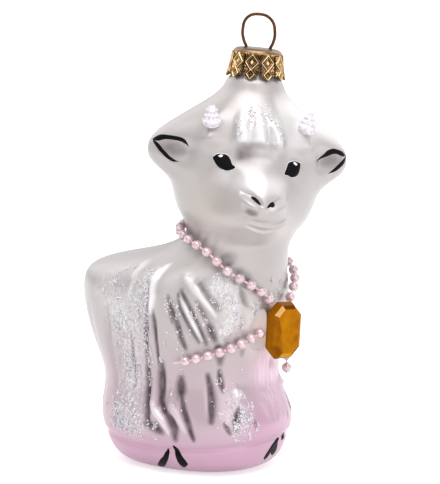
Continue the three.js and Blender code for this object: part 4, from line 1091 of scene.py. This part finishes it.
# %% One flake
bpy.ops.object.select_all(action="DESELECT")
bpy.ops.mesh.primitive_cone_add(vertices=6, radius1=0.5, radius2=0, depth=0.14, end_fill_type="TRIFAN")
flake = bpy.context.object
flake_points = np.array([v.co for v in flake.data.vertices])
flake_faces = np.array([list(p.vertices) for p in flake.data.polygons])
bpy.data.objects.remove(flake)
SPARKS = np.array([
    (0.78, 0.77, 0.79), (0.86, 0.86, 0.87), (0.68, 0.66, 0.72),
    (0.78, 0.24, 0.58), (0.52, 0.36, 0.8), (0.42, 0.82, 0.68),
])
SPARK_ODDS = [0.42, 0.3, 0.15, 0.06, 0.04, 0.03]
print("a flake has", len(flake_faces), "faces")


# %% Laying flakes
def lay_flakes(name, places, normals, size, tilt):
    """Flakes at places, each turned at random about its normal and tilted a little."""
    count = len(places)
    sideways = rng.normal(size=(count, 3))
    up = normals + tilt * rng.normal(size=(count, 3))
    up /= np.linalg.norm(up, axis=1, keepdims=True)
    east = np.cross(up, sideways)
    east /= np.linalg.norm(east, axis=1, keepdims=True)
    north = np.cross(up, east)
    wide = rng.uniform(size[0], size[1], count)
    local = flake_points[None] * wide[:, None, None]
    points = local[..., :1] * east[:, None] + local[..., 1:2] * north[:, None]
    points += local[..., 2:] * up[:, None] + places[:, None]
    faces = flake_faces[None] + (np.arange(count) * len(flake_points))[:, None, None]
    mesh = bpy.data.meshes.new(name)
    mesh.from_pydata((points.reshape(-1, 3) * MM).tolist(), [], faces.reshape(-1, 3).tolist())
    tints = SPARKS[rng.choice(len(SPARKS), count, p=SPARK_ODDS)]
    colours = np.repeat(np.hstack([tints, np.ones((count, 1))]), len(flake_points), 0)
    stored_tints = mesh.attributes.new("tint", "FLOAT_COLOR", "POINT")
    stored_tints.data.foreach_set("color", colours.astype(np.float32).ravel())
    return placed(name, mesh)


glitter, tree, shader = finish_nodes("glitter_flakes", {"Coat Weight": 0.4})
glimmer = object_noise(tree, 3000, 2)
glint = ranged(tree, glimmer, 0.4, 0.7, 0, 0.5)
tone = blend_colour(tree, stored(tree, "tint", "Color"), (0.97, 0.97, 0.98), glint)
wire(tree, tone, (shader, "Base Color"))
wire(tree, ranged(tree, glimmer, *NOISE_RANGE, 0.12, 0.3), (shader, "Roughness"))
print("glitter finish ready")


# %% Glitter on the coat and forelock
CLUMP_SIZES, CLUMP_ODDS = [1, 2, 5, 11, 18], [0.34, 0.2, 0.2, 0.16, 0.1]
CLUMP_SPREAD, TRIES = 0.07, 60
COAT_FLAKE, COAT_LIFT = (0.2, 0.44), (0.02, 0.3)


def sprinkled_places(turn, low_turn, high_turn, low, high, clumps, arc):
    """Places of flakes in small clumps, more of them where the sprinkling is thick."""
    azimuth = turn + rng.uniform(low_turn, high_turn, TRIES * clumps)
    level = rng.uniform(low, high, TRIES * clumps)
    kept = np.flatnonzero(rng.uniform(size=len(azimuth)) < sprinkling(azimuth, level))[:clumps]
    sizes = rng.choice(CLUMP_SIZES, len(kept), p=CLUMP_ODDS)
    middle = np.repeat(kept, sizes)
    spread = np.repeat(CLUMP_SPREAD * np.sqrt(sizes), sizes)
    across = rng.normal(size=len(middle)) * spread * 1.1 / arc
    along = rng.normal(size=len(middle)) * spread * 1.7
    return azimuth[middle] + across, level[middle] + along


# Heading, degrees from it, heights, clumps, and millimetres to a degree
PATCHES = {
    "glitter_flank_right": (BODY_TURN, -150, 8, 9, 54, 900, FLANK_ARC),
    "glitter_flank_left": (BODY_TURN, 46, 150, 9, 54, 650, FLANK_ARC),
    "glitter_forelock": (FACE_TURN, -32, 28, 81, 92, 90, FACE_ARC),
}
for name, patch in PATCHES.items():
    azimuth, level = sprinkled_places(*patch)
    places = on_glass(azimuth, level, rng.uniform(*COAT_LIFT, len(azimuth)))
    piece = lay_flakes(name, places, glass_normal(azimuth, level), COAT_FLAKE, 0.5)
    hand_in(piece, "glass", "glitter_paste", glitter)
    print(name, len(places), "flakes")

# %% Glitter on the horns
HORN_FLAKES, HORN_FLAKE, HORN_FLAKE_LIFT = 230, (0.3, 0.52), 0.04
for piece, name in zip(horns, ("glitter_horn_right", "glitter_horn_left")):
    faces = list(piece.data.polygons)
    chosen = rng.choice(len(faces), HORN_FLAKES)
    places = np.array([faces[i].center for i in chosen]) / MM
    normals = np.array([faces[i].normal for i in chosen])
    flakes = lay_flakes(name, places + normals * HORN_FLAKE_LIFT, normals, HORN_FLAKE, 0.4)
    hand_in(flakes, "glass", "glitter_paste", glitter)
print("horns sprinkled")

# %% [markdown]
# ## Bead strand
# The beads are small moulded pearls on a pink thread. One bead is modelled: a sphere whose poles are taken
# off and whose two rims are bridged to a bore. It is then copied to the middle of each CAD bead, with its
# bore along the thread.

# %% Pearl and thread finishes
pink_pearl = mottled_finish(
    "pink_pearl", 500, (0.54, 0.35, 0.39), (0.66, 0.49, 0.53),
    {
        "Metallic": 0.2, "Subsurface Weight": 0.4, "Subsurface Radius": (0.0016, 0.0011, 0.0012),
        "Subsurface Scale": 1.0, "Coat Weight": 1.0, "Coat Roughness": 0.05, "Coat IOR": 2.0,
    },
    rough=(0.08, 0.16), spread=(0.35, 0.65),
)
pink_thread = mottled_finish(
    "pink_thread", 4000, (0.74, 0.47, 0.5), (0.88, 0.68, 0.69), {"Roughness": 0.75, "Sheen Weight": 0.3}
)
print("pearl and thread finishes")

# %% One bead
BEAD, POLE = 2.5, 0.2      # corners closer to the axis than the second are a pole


def pick(piece, kind, test):
    """Selects the corners, edges or faces that pass a test, and only them, and stays in edit mode."""
    parts = {"VERT": piece.data.vertices, "EDGE": piece.data.edges, "FACE": piece.data.polygons}
    bpy.ops.object.mode_set(mode="EDIT")
    bpy.ops.mesh.select_mode(type=kind)
    bpy.ops.mesh.select_all(action="DESELECT")
    bpy.ops.object.mode_set(mode="OBJECT")
    for part in parts[kind]:
        part.select = test(part)
    bpy.ops.object.mode_set(mode="EDIT")


bpy.ops.object.select_all(action="DESELECT")
bpy.ops.mesh.primitive_uv_sphere_add(segments=24, ring_count=16, radius=BEAD / 2 * MM)
bead = bpy.context.object
pick(bead, "VERT", lambda corner: math.hypot(corner.co.x, corner.co.y) < POLE * MM)
bpy.ops.mesh.delete(type="VERT")
bpy.ops.mesh.select_non_manifold()
bpy.ops.mesh.bridge_edge_loops()
bpy.ops.object.mode_set(mode="OBJECT")
merge_and_turn_out(bead)
print("a bead has", len(bead.data.polygons), "faces")


# %% Beads on their places
def bead_middles(name, count):
    """Middles of a row of CAD beads, metres."""
    return [sum(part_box(f"{name}_{i:02d}"), Vector()) / 2 for i in range(1, count + 1)]


STRANDS = {"neck_bead": 27, "right_tail_bead": 8, "left_tail_bead": 4}
rows = {name: bead_middles(name, count) for name, count in STRANDS.items()}
for name, middles in rows.items():
    for i, middle in enumerate(middles):
        ahead, behind = middles[min(i + 1, len(middles) - 1)], middles[max(i - 1, 0)]
        copy = placed(f"{name}_{i + 1:02d}_pearl", bead.data.copy())
        copy.data.transform(standing(middle, ahead - behind))
        hand_in(copy, "glass", "pink_pearl", pink_pearl, f"{name}_{i + 1:02d}")
bpy.data.objects.remove(bead)
print(sum(STRANDS.values()), "beads")

# %% Threads
THREAD, HANGING_END = 0.5, 0.3
# Start and end of each thread: degrees from the chest, height, and height above the glass
ENDS = {
    "neck_bead": ((-5, 41.4, 0.62), (9, 40.8, 0.62)),
    "right_tail_bead": ((-8.4, 36.9, 0.62), (-70.6, 29, 1.5)),
    "left_tail_bead": ((12.4, 36.6, 0.62), None),
}


def thread(name, points, thick):
    """A round thread or wire through points, as a curve made a mesh."""
    line = bpy.data.curves.new(name, "CURVE")
    line.dimensions, line.bevel_depth, line.bevel_resolution = "3D", thick / 2 * MM, 3
    line.use_fill_caps = True
    line.resolution_u = 6
    spline = line.splines.new("BEZIER")
    spline.bezier_points.add(len(points) - 1)
    for knot, point in zip(spline.bezier_points, points):
        knot.co = point
        knot.handle_left_type = knot.handle_right_type = "AUTO"
    placed(name, line)
    bpy.ops.object.convert(target="MESH")
    merge_and_turn_out(bpy.context.object)
    return bpy.context.object


def thread_end(b, h, lift):
    """An end of a thread over the glass, in metres."""
    return Vector(on_glass(BODY_TURN + b, h, lift, False) * MM)


for name, (start, end) in ENDS.items():
    last = thread_end(*end) if end else rows[name][-1] - Vector((0, 0, BEAD / 2 + HANGING_END)) * MM
    piece = thread(name.replace("bead", "strand_thread"), [thread_end(*start), *rows[name], last], THREAD)
    hand_in(piece, "glass", "pink_thread", pink_thread, name.replace("bead", "thread"))
print("three threads")

# %% [markdown]
# ## Stone
# The stone is a pressed octagon with a foil back. A block has its four short edges bevelled, and its front
# and back are inset in steps, as a cutter would grind them. The foil throws light back through some facets
# and not through others, so each of the front facets stores its painted reflection: how pale or dark it looks.

# %% Stone finishes
AMBER_DARK, AMBER_PALE = (0.32, 0.1, 0.0004), (0.46, 0.165, 0.0004)
# Stored value where a colour starts, value where it is full, and the colour
PAINTED_REFLECTION_TONES = [(0, -1, (0.12, 0.03, 0.001)), (0, 0.5, (0.66, 0.28, 0.001)), (0.5, 1, (0.74, 0.44, 0.2))]
amber, tree, shader = finish_nodes("amber_resin", {"Specular IOR Level": 0.03})
veil = object_noise(tree, 320)
tone = blend_colour(tree, AMBER_DARK, AMBER_PALE, ranged(tree, veil, 0.36, 0.64, 0, 1))
# Painted reflections of the foil through the facets
facet_reflection = stored(tree, "facet_reflection")
for start, full, colour in PAINTED_REFLECTION_TONES:
    tone = blend_colour(tree, tone, colour, ranged(tree, facet_reflection, start, full, 0, 1))
wire(tree, tone, (shader, "Base Color"))
wire(tree, ranged(tree, veil, *NOISE_RANGE, 0.03, 0.08), (shader, "Roughness"))
foil = mottled_finish(
    "gold_foil", 220, (0.8, 0.46, 0.06), (0.9, 0.56, 0.1), {"Metallic": 0.9}, rough=(0.16, 0.26), detail=2
)
print("amber and foil")

# %% Stone shape
STONE_WIDTH, STONE_HEIGHT, STONE_CORNER, STONE_GIRDLE = 10, 14, 2.8, 0.6
# Inset and depth of each step, for the front (-1) and the back (1)
STONE_STEPS = {-1: [(0.7, 1.4), (0.95, 0.6)], 1: [(1.2, 1.43), (1.8, 1.17)]}
TABLE_POINT = -2.2      # sideways from the middle, where the facets of the table meet
bpy.ops.object.select_all(action="DESELECT")
bpy.ops.mesh.primitive_cube_add(size=1, scale=(STONE_WIDTH, STONE_GIRDLE, STONE_HEIGHT))
stone = bpy.context.object
stone.name = stone.data.name = "amber_stone_cut"
settle(stone)


def runs_through(edge):
    """An edge that runs from the front of the girdle to its back."""
    a, b = [stone.data.vertices[k].co for k in edge.vertices]
    return abs(a.y - b.y) > STONE_GIRDLE / 2


pick(stone, "EDGE", runs_through)
bpy.ops.mesh.bevel(offset=STONE_CORNER, offset_type="OFFSET", segments=1)
bpy.ops.object.mode_set(mode="OBJECT")
for way, steps in STONE_STEPS.items():
    pick(stone, "FACE", lambda face: face.normal.y * way > 0.9)
    for inset, depth in steps:
        bpy.ops.mesh.inset(thickness=inset, depth=depth)
    bpy.ops.object.mode_set(mode="OBJECT")
pick(stone, "FACE", lambda face: face.normal.y < -0.99)
bpy.ops.mesh.poke()
bpy.ops.object.mode_set(mode="OBJECT")
for corner in stone.data.vertices:
    if abs(corner.co.x) < 0.1 and abs(corner.co.z) < 0.1 and corner.co.y < 0:
        corner.co.x = TABLE_POINT
print("stone faces:", len(stone.data.polygons))

# %% Stone in its place
STONE_AT, STONE_TURN, STONE_LEAN = (21, -15, 36.1), 38, 4
WORN_EDGE, WORN_ANGLE = 0.09, 12
# Painted reflection, from dark (-1) to pale (1), for each eighth of a turn from the stone's right
OUTER_FACETS = [0.8, 0.7, -0.45, -0.3, -0.45, -0.4, -0.6, 0.6]
INNER_FACETS = [0.12, 0.1, -0.9, 0.85, -0.3, -0.55, 0.5, -0.4]
TABLE_FACETS = [0.0, 0.08, 0.14, 0.05, -0.4, -0.15, 0.08, 0.02]
TABLE_MIDDLE, TABLE_SQUASH = -1.2, 0.6
FOIL_STARTS = -0.5      # foil lies behind this, measured from the middle of the girdle
painted_shade_or_wear = stone.modifiers.new("worn_edges", "BEVEL")
painted_shade_or_wear.width, painted_shade_or_wear.segments, painted_shade_or_wear.limit_method = WORN_EDGE, 1, "ANGLE"
painted_shade_or_wear.angle_limit = math.radians(WORN_ANGLE)
apply_all(stone)


def eighth(across, up):
    """Number of the eighth of a turn that a direction points to."""
    return round(math.degrees(math.atan2(up, across)) / 45) % 8


def painted_facet_reflection(face):
    """How pale or dark the painted reflection of a face is."""
    slope = -face.normal.y
    if slope > 0.95:
        return TABLE_FACETS[eighth(face.center.x - TABLE_MIDDLE, face.center.z * TABLE_SQUASH)]
    facets = INNER_FACETS if slope > 0.65 else OUTER_FACETS
    return facets[eighth(face.normal.x, face.normal.z)]


tones = [painted_facet_reflection(face) for face in stone.data.polygons]
stone.data.attributes.new("facet_reflection", "FLOAT", "FACE").data.foreach_set("value", tones)
facing = Matrix.Rotation(math.radians(STONE_TURN), 4, "Z") @ Matrix.Rotation(math.radians(STONE_LEAN), 4, "Y")
STONE_PLACE = Matrix.Translation(Vector(STONE_AT)) @ facing
stone.data.transform(STONE_PLACE)
stone.data.transform(Matrix.Scale(MM, 4))
hand_in(stone, "glass", "amber_stone", amber, "stone")
stone.data.materials.append(foil)
out = Vector((math.sin(math.radians(STONE_TURN)), -math.cos(math.radians(STONE_TURN)), 0))
for face in stone.data.polygons:
    ahead = (face.center / MM - Vector(STONE_AT)).dot(out)
    face.material_index = 1 if ahead < FOIL_STARTS else 0
print("stone set at", STONE_AT)

# %% [markdown]
# ## Glue
# A dab of clear glue joins stone and glass. It is the CAD dab, merged and rounded by subdivision. The glue
# that was smeared beside the stone is a thin fillet, so it is a wrapped grid of its own. A number stored on
# it fades its colour into the lacquer, because such a smear has no clear edge.

# %% Glue
glue = mottled_finish(
    "dried_glue", 600, (0.53, 0.37, 0.335), (0.63, 0.46, 0.425),
    {"Subsurface Weight": 0.15, "Subsurface Radius": (0.001, 0.0007, 0.0005)}, rough=(0.25, 0.45),
)
dab = placed("glue_dab_round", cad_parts["glue_dab"].data.copy())
merge_and_turn_out(dab, 1e-5)
soft = dab.modifiers.new("soft", "SUBSURF")
soft.levels = soft.render_levels = 1
apply_all(dab)
hand_in(dab, "glass", "clear_glue", glue, "glue_dab")
print("glue dab")

# %% Glue smeared beside the stone
SMEAR_LEVEL, SMEAR_HALF, SMEAR_TURN, SMEAR_SPREAD = 36.6, 5.4, -10.5, 10.5
SMEAR_SINK, SMEAR_SAG = 0.05, 0.9
STONE_EDGE = (-4.85, 0.25, 4.9)     # on the stone: how far aside and behind its middle, and half height
GLUE_THIN, GLUE_FULL = (0.55, 0.495, 0.485), (0.62, 0.475, 0.44)


def smear_shape(u, v):
    """A fillet from the edge of the stone to the glass, and back under it."""
    along = 2 * v - 1
    full = np.sqrt(np.clip(1 - along ** 4, 0, 1))
    side, back, tall = STONE_EDGE
    edge = np.array([STONE_PLACE @ Vector((side, back, tall * t)) for t in along])
    level = SMEAR_LEVEL + SMEAR_HALF * along
    sunk = np.full_like(u, -SMEAR_SINK)
    spread = SMEAR_SPREAD + 1.8 * np.sin(5 * along + 1) + 0.7 * np.sin(13 * along)
    foot = on_glass(BODY_TURN + SMEAR_TURN - spread * full, level, sunk, False)
    under = on_glass(BODY_TURN + SMEAR_TURN + full, level, sunk, False)
    edge = under + (edge - under) * full[:, None]
    share = np.clip(2 * u, 0, 1)[:, None]
    sag = (share * (1 - share)) * SMEAR_SAG * full[:, None]
    front = edge + (foot - edge) * share - sag * (edge - under)
    inside = np.clip(2 * u - 1, 0, 1)[:, None]
    hidden = foot + (under - foot) * np.clip(2 * inside, 0, 1)
    hidden = hidden + (edge - under) * np.clip(2 * inside - 1, 0, 1)
    return np.where(u[:, None] < 0.5, front, hidden)


def smear_finish(u, v):
    """The glue is full beside the stone and thins out to the glass at its foot and its two ends."""
    foot = smooth(np.clip(2 * u, 0, 1), 0.25, 0.95)
    ends = smooth(np.abs(2 * v - 1), 0.45, 0.95)
    return {"full": (1 - foot) * (1 - ends)}


smeared, tree, shader = finish_nodes("smeared_glue", {"Roughness": 0.36})
wire(tree, blend_colour(tree, GLUE_THIN, GLUE_FULL, stored(tree, "full")), (shader, "Base Color"))
smear = wrapped_grid("glue_smear", 24, 40, smear_shape, smear_finish)
hand_in(smear, "glass", "clear_glue", smeared)
print("glue smear:", len(smear.data.polygons), "faces")

# %% [markdown]
# ## Stamped cap
# The cap is thin brass sheet, drawn to a cup, slit into ten petals and stamped with lozenges. A grid is
# wrapped to the cup with the stamping as relief, the squares in the slits are deleted, and Solidify gives
# the sheet its thickness, so the pattern shows inside as it does on a real stamping. The wire holes are cut
# by Boolean.

# %% Stamping of a petal
RIM_MIDDLE = (14.877, -7.571, PIKE_RIM)
CROWN = Matrix.Translation(Vector(RIM_MIDDLE)) @ Matrix.Rotation(math.radians(LEAN), 4, "Y")
CAP_OUTSIDE, CAP_TOP, CAP_SKIRT, CAP_FLARE, PETALS, CAP_TURN = 6.0, 0.75, 6.6, 1.1, 10, -12.4
CAP_SHEET, WIRE, HOLE_SPACING = 0.3, 0.8, 5.7
PETAL_COLUMNS, STAMP_RISE = 40, 0.34
PETAL_HALF = math.pi / PETALS
# Height of a lozenge's middle, half width and half height; the side ones sit on the edge of the petal
LARGE, SMALL, CORNER, UPPER = (-2.5, 1.75, 1.95), (-5.35, 1.15, 1.2), (-4.35, 1.5, 1.6), (-0.75, 1.3, 1.3)
PETAL_EDGE, OUTSIDE_OF = 2.1, 1.08      # the second is a distance at which a lozenge's own lines have ended


def lozenge(x, z, size):
    """Distance from a lozenge's middle: 1 on its outline."""
    z0, half_width, half_height = size
    return np.abs(x) / half_width + np.abs(z - z0) / half_height


def frame_line(d, low, high, soft=0.07):
    """A raised band between two distances."""
    return between(d, low - soft, low + soft, high - soft, high + soft)


def stamping(x, z):
    """Relief of one petal: x is millimetres from its middle, z is below the pike's rim."""
    large, small = lozenge(x, z, LARGE), lozenge(x, z, SMALL)
    r = frame_line(large, 0.86, 1.06) + 0.9 * frame_line(large, 0.58, 0.72)
    r = r + 1.25 * np.clip(1 - large / 0.46, 0, 1) ** 0.8
    inner = frame_line(small, 0.8, 1.06) + 0.85 * frame_line(small, 0.46, 0.6, 0.09)
    r = np.maximum(r, inner + 0.8 * np.clip(1 - small / 0.3, 0, 1))
    for side in (-1, 1):
        corner = lozenge(x - side * PETAL_EDGE, z, CORNER)
        upper = lozenge(x - side * PETAL_EDGE, z, UPPER)
        corner_lines = 0.9 * frame_line(corner, 0.3, 0.48) + 0.9 * frame_line(corner, 0.72, 0.9)
        upper_lines = 0.8 * frame_line(upper, 0.34, 0.52) + 0.8 * frame_line(upper, 0.78, 0.95)
        clear = large > OUTSIDE_OF
        r = np.where(clear & (small > OUTSIDE_OF), np.maximum(r, corner_lines), r)
        r = np.where(clear, np.maximum(r, upper_lines), r)
    return r * smooth(-z, 0.25, 0.5)


print("stamping of", PETALS, "petals")

# %% Cap rows, from the middle of the top to the petal tips
SKIRT_START, TIP_REACH, TIP_POINT = 0.3, 0.05, 1.15
SLIT_SHARE, SLIT_WIDENS, EDGE_CURL = 0.085, 0.03, 0.25
# Radius, and drop from the top
TOP_DROPS = [
    (0, 0), (1, 0), (2, 0), (3, 0), (3.9, 0), (4.4, 0.03), (4.85, 0.11), (5.25, 0.26), (5.58, 0.46),
    (5.8, 0.68), (5.94, 0.88), (CAP_OUTSIDE, CAP_TOP + SKIRT_START),
]
SKIRT_ROWS = 70
CAP_ROWS = len(TOP_DROPS) + SKIRT_ROWS - 1


def petal_of(u):
    """Number of the petal that a column lies on, and the place across it from -1 to 1."""
    column = np.round(u * PETALS * (PETAL_COLUMNS + 1))
    column = np.where(column == 0, PETALS * (PETAL_COLUMNS + 1), column)
    petal = np.floor((column - 1) / (PETAL_COLUMNS + 1))
    return petal, (column - petal * (PETAL_COLUMNS + 1) - 1) / PETAL_COLUMNS * 2 - 1


def skirt_at(v, inner):
    """Share of the way down the skirt, height, and radius of the flare, at a row."""
    down = np.clip((v * CAP_ROWS - len(TOP_DROPS) + 1) / SKIRT_ROWS, 0, 1)
    tip = CAP_SKIRT + TIP_REACH - TIP_POINT * np.abs(inner)
    z = -SKIRT_START - down * (tip - SKIRT_START)
    return down, z, CAP_OUTSIDE + CAP_FLARE * np.clip(-z / CAP_SKIRT, 0, 1.02) ** 1.5


def cap_shape(u, v):
    """Points of the cup with its stamping, and the petals narrowed and pointed towards their tips."""
    top = np.array(TOP_DROPS)
    petal, inner = petal_of(u)
    down, z, r = skirt_at(v, inner)
    skirt = down > 0
    z = np.where(skirt, z, CAP_TOP - np.interp(v * CAP_ROWS, range(len(top)), top[:, 1]))
    r = np.where(skirt, r, np.interp(v * CAP_ROWS, range(len(top)), top[:, 0]))
    slit = np.where(skirt, SLIT_SHARE * smooth(-z, 0.5, 0.8) + SLIT_WIDENS * smooth(-z, 3, 6.5), 0)
    angle = (petal + 0.5 + inner * 0.5 * (1 - slit)) * 2 * PETAL_HALF + math.radians(CAP_TURN) - PETAL_HALF
    r = r + np.where(skirt, STAMP_RISE * stamping(inner * PETAL_HALF * r, z), 0)
    r = r - np.where(skirt, EDGE_CURL * np.abs(inner) ** 6 * smooth(-z, 1.4, 5), 0)
    return np.stack([r * np.sin(angle), -r * np.cos(angle), z], -1)


def cap_finish(u, v):
    """Height of the stamping, for the dark patina in its hollows, and the plain part over it."""
    petal, inner = petal_of(u)
    down, z, r = skirt_at(v, inner)
    raised = stamping(inner * PETAL_HALF * r, z)
    raised = raised * (1 - smooth(np.abs(inner), 0.86, 0.96) * smooth(-z, 0.5, 0.8))
    plain = np.where(down > 0, 1 - smooth(-z, 0.25, 0.5), 1)
    return {"raised": np.where(down > 0.03, np.clip(raised, 0, 1.2), 0.75), "plain": plain}


cap = wrapped_grid("stamped_cap", PETALS * (PETAL_COLUMNS + 1), CAP_ROWS, cap_shape, cap_finish)
print("cap sheet:", len(cap.data.polygons), "faces")

# %% Slits and sheet thickness
SLIT_TOP, SLIT_HALF = -0.62, 0.12       # millimetres from the pike's rim, and degrees


def in_slit(face):
    """A square that lies between two petals."""
    turn = math.degrees(math.atan2(face.center.x, -face.center.y)) - CAP_TURN + 180 / PETALS
    off = (turn + 180 / PETALS) % (360 / PETALS) - 180 / PETALS
    return face.center.z < SLIT_TOP * MM and abs(off) < SLIT_HALF


take(cap)
pick(cap, "FACE", in_slit)
bpy.ops.mesh.delete(type="FACE")
bpy.ops.object.mode_set(mode="OBJECT")
if sum(face.normal.dot(face.center) for face in cap.data.polygons) < 0:
    cap.data.flip_normals()
sheet = cap.modifiers.new("sheet", "SOLIDIFY")
sheet.thickness, sheet.offset = CAP_SHEET * MM, -1
apply_all(cap)
print("slit cap:", len(cap.data.polygons), "faces")

# %% Wire holes
HOLE_ROOM, PUNCH_DEPTH, PUNCH_LEVEL, CREASE_ANGLE = 0.2, 3, 0.6, 50
for way in (-1, 1):
    bpy.ops.object.select_all(action="DESELECT")
    bpy.ops.mesh.primitive_cylinder_add(
        vertices=24, radius=(WIRE / 2 + HOLE_ROOM) * MM, depth=PUNCH_DEPTH * MM,
        location=(way * HOLE_SPACING / 2 * MM, 0, PUNCH_LEVEL * MM),
    )
    punch = bpy.context.object
    hole = cap.modifiers.new("hole", "BOOLEAN")
    hole.operation, hole.object, hole.solver = "DIFFERENCE", punch, "EXACT"
    apply_all(cap)
    bpy.data.objects.remove(punch)
cap.data.transform(Matrix.Scale(MM, 4) @ CROWN @ Matrix.Scale(1 / MM, 4))
bpy.ops.object.shade_smooth_by_angle(angle=math.radians(CREASE_ANGLE))
print("cap:", len(cap.data.polygons), "faces")

# %% [markdown]
# The brass is satin gold. Its raised lines are pale, partly as polish and partly as a painted highlight, and
# the hollows are brown, where the polishing wheel never reaches.

# %% Gold finish
GOLD_DARK, GOLD_PALE, POLISH_AND_HIGHLIGHT = (0.3, 0.178, 0.07), (0.4, 0.245, 0.105), (0.88, 0.7, 0.44)
PLAIN_TOP, PATINA = (0.2, 0.125, 0.07), (0.07, 0.034, 0.009)
gold, tree, shader = finish_nodes("satin_gold", {"Metallic": 1.0, "Coat Weight": 0.1, "Coat Roughness": 0.15})
smudge = object_noise(tree, 420, 4)
raised = stored(tree, "raised")
tone = blend_colour(tree, GOLD_DARK, GOLD_PALE, smudge)
# Raised lines: polish and a painted highlight
tone = blend_colour(tree, tone, POLISH_AND_HIGHLIGHT, ranged(tree, raised, 0.72, 1.0, 0, 0.9))
tone = blend_colour(tree, tone, PLAIN_TOP, stored(tree, "plain"))
tone = blend_colour(tree, tone, PATINA, ranged(tree, raised, 0.05, 0.7, 0.9, 0))
wire(tree, tone, (shader, "Base Color"))
wire(tree, ranged(tree, smudge, *NOISE_RANGE, 0.22, 0.38), (shader, "Roughness"))
bump = add(tree, "ShaderNodeBump", {"Strength": 0.15, "Distance": 0.0001})
wire(tree, object_noise(tree, 3000, 2), (bump, "Height"))
wire(tree, (bump, 0), (shader, "Normal"))
hand_in(cap, "cap", "gold_cap", gold, "cap")
print("gold on", cap.name)

# %% [markdown]
# ## Wire hanger
# A length of copper wire is bent to an oval loop over the cap, and its two legs spring against the inside of
# the pike. A bevelled curve follows the bends and is then made a mesh.

# %% Wire hanger
LEG, HOLE, LOOP_HALF, LOOP_HEIGHT, LEG_LENGTH = 3.5, 2.85, 3.95, 8.2, 17
LOOP_TILT = 3.5     # degrees
# Half of the wire, from the end of a leg up: sideways from the middle, and height over the pike's rim
HALF_BEND = [
    (LEG, -LEG_LENGTH), (LEG, -LEG_LENGTH * 0.6), ((LEG + HOLE) / 2, -LEG_LENGTH * 0.25), (HOLE, 0.55),
    (HOLE + (LOOP_HALF - HOLE) * 0.7, CAP_TOP + LOOP_HEIGHT * 0.2), (LOOP_HALF, CAP_TOP + LOOP_HEIGHT * 0.48),
    (LOOP_HALF * 0.74, CAP_TOP + LOOP_HEIGHT * 0.87),
]


def bend(x, z):
    """A point of the wire, in metres."""
    lean = -math.tan(math.radians(LOOP_TILT)) * max(z - CAP_TOP, 0)
    return (CROWN @ Vector((x + lean, 0, z))) * MM


route = [bend(-x, z) for x, z in HALF_BEND] + [bend(0, CAP_TOP + LOOP_HEIGHT)]
route += [bend(x, z) for x, z in reversed(HALF_BEND)]
hanger = thread("copper_hanger", route, WIRE)
copper = mottled_finish(
    "drawn_copper", 900, (0.055, 0.019, 0.011), (0.12, 0.043, 0.022), {"Metallic": 0.95},
    rough=(0.24, 0.4), detail=4, spread=NOISE_RANGE,
)
hand_in(hanger, "hanger", "copper_wire", copper, "hanger_wire")
print("hanger:", len(hanger.data.polygons), "faces")

# %% Last update
bpy.context.view_layer.update()
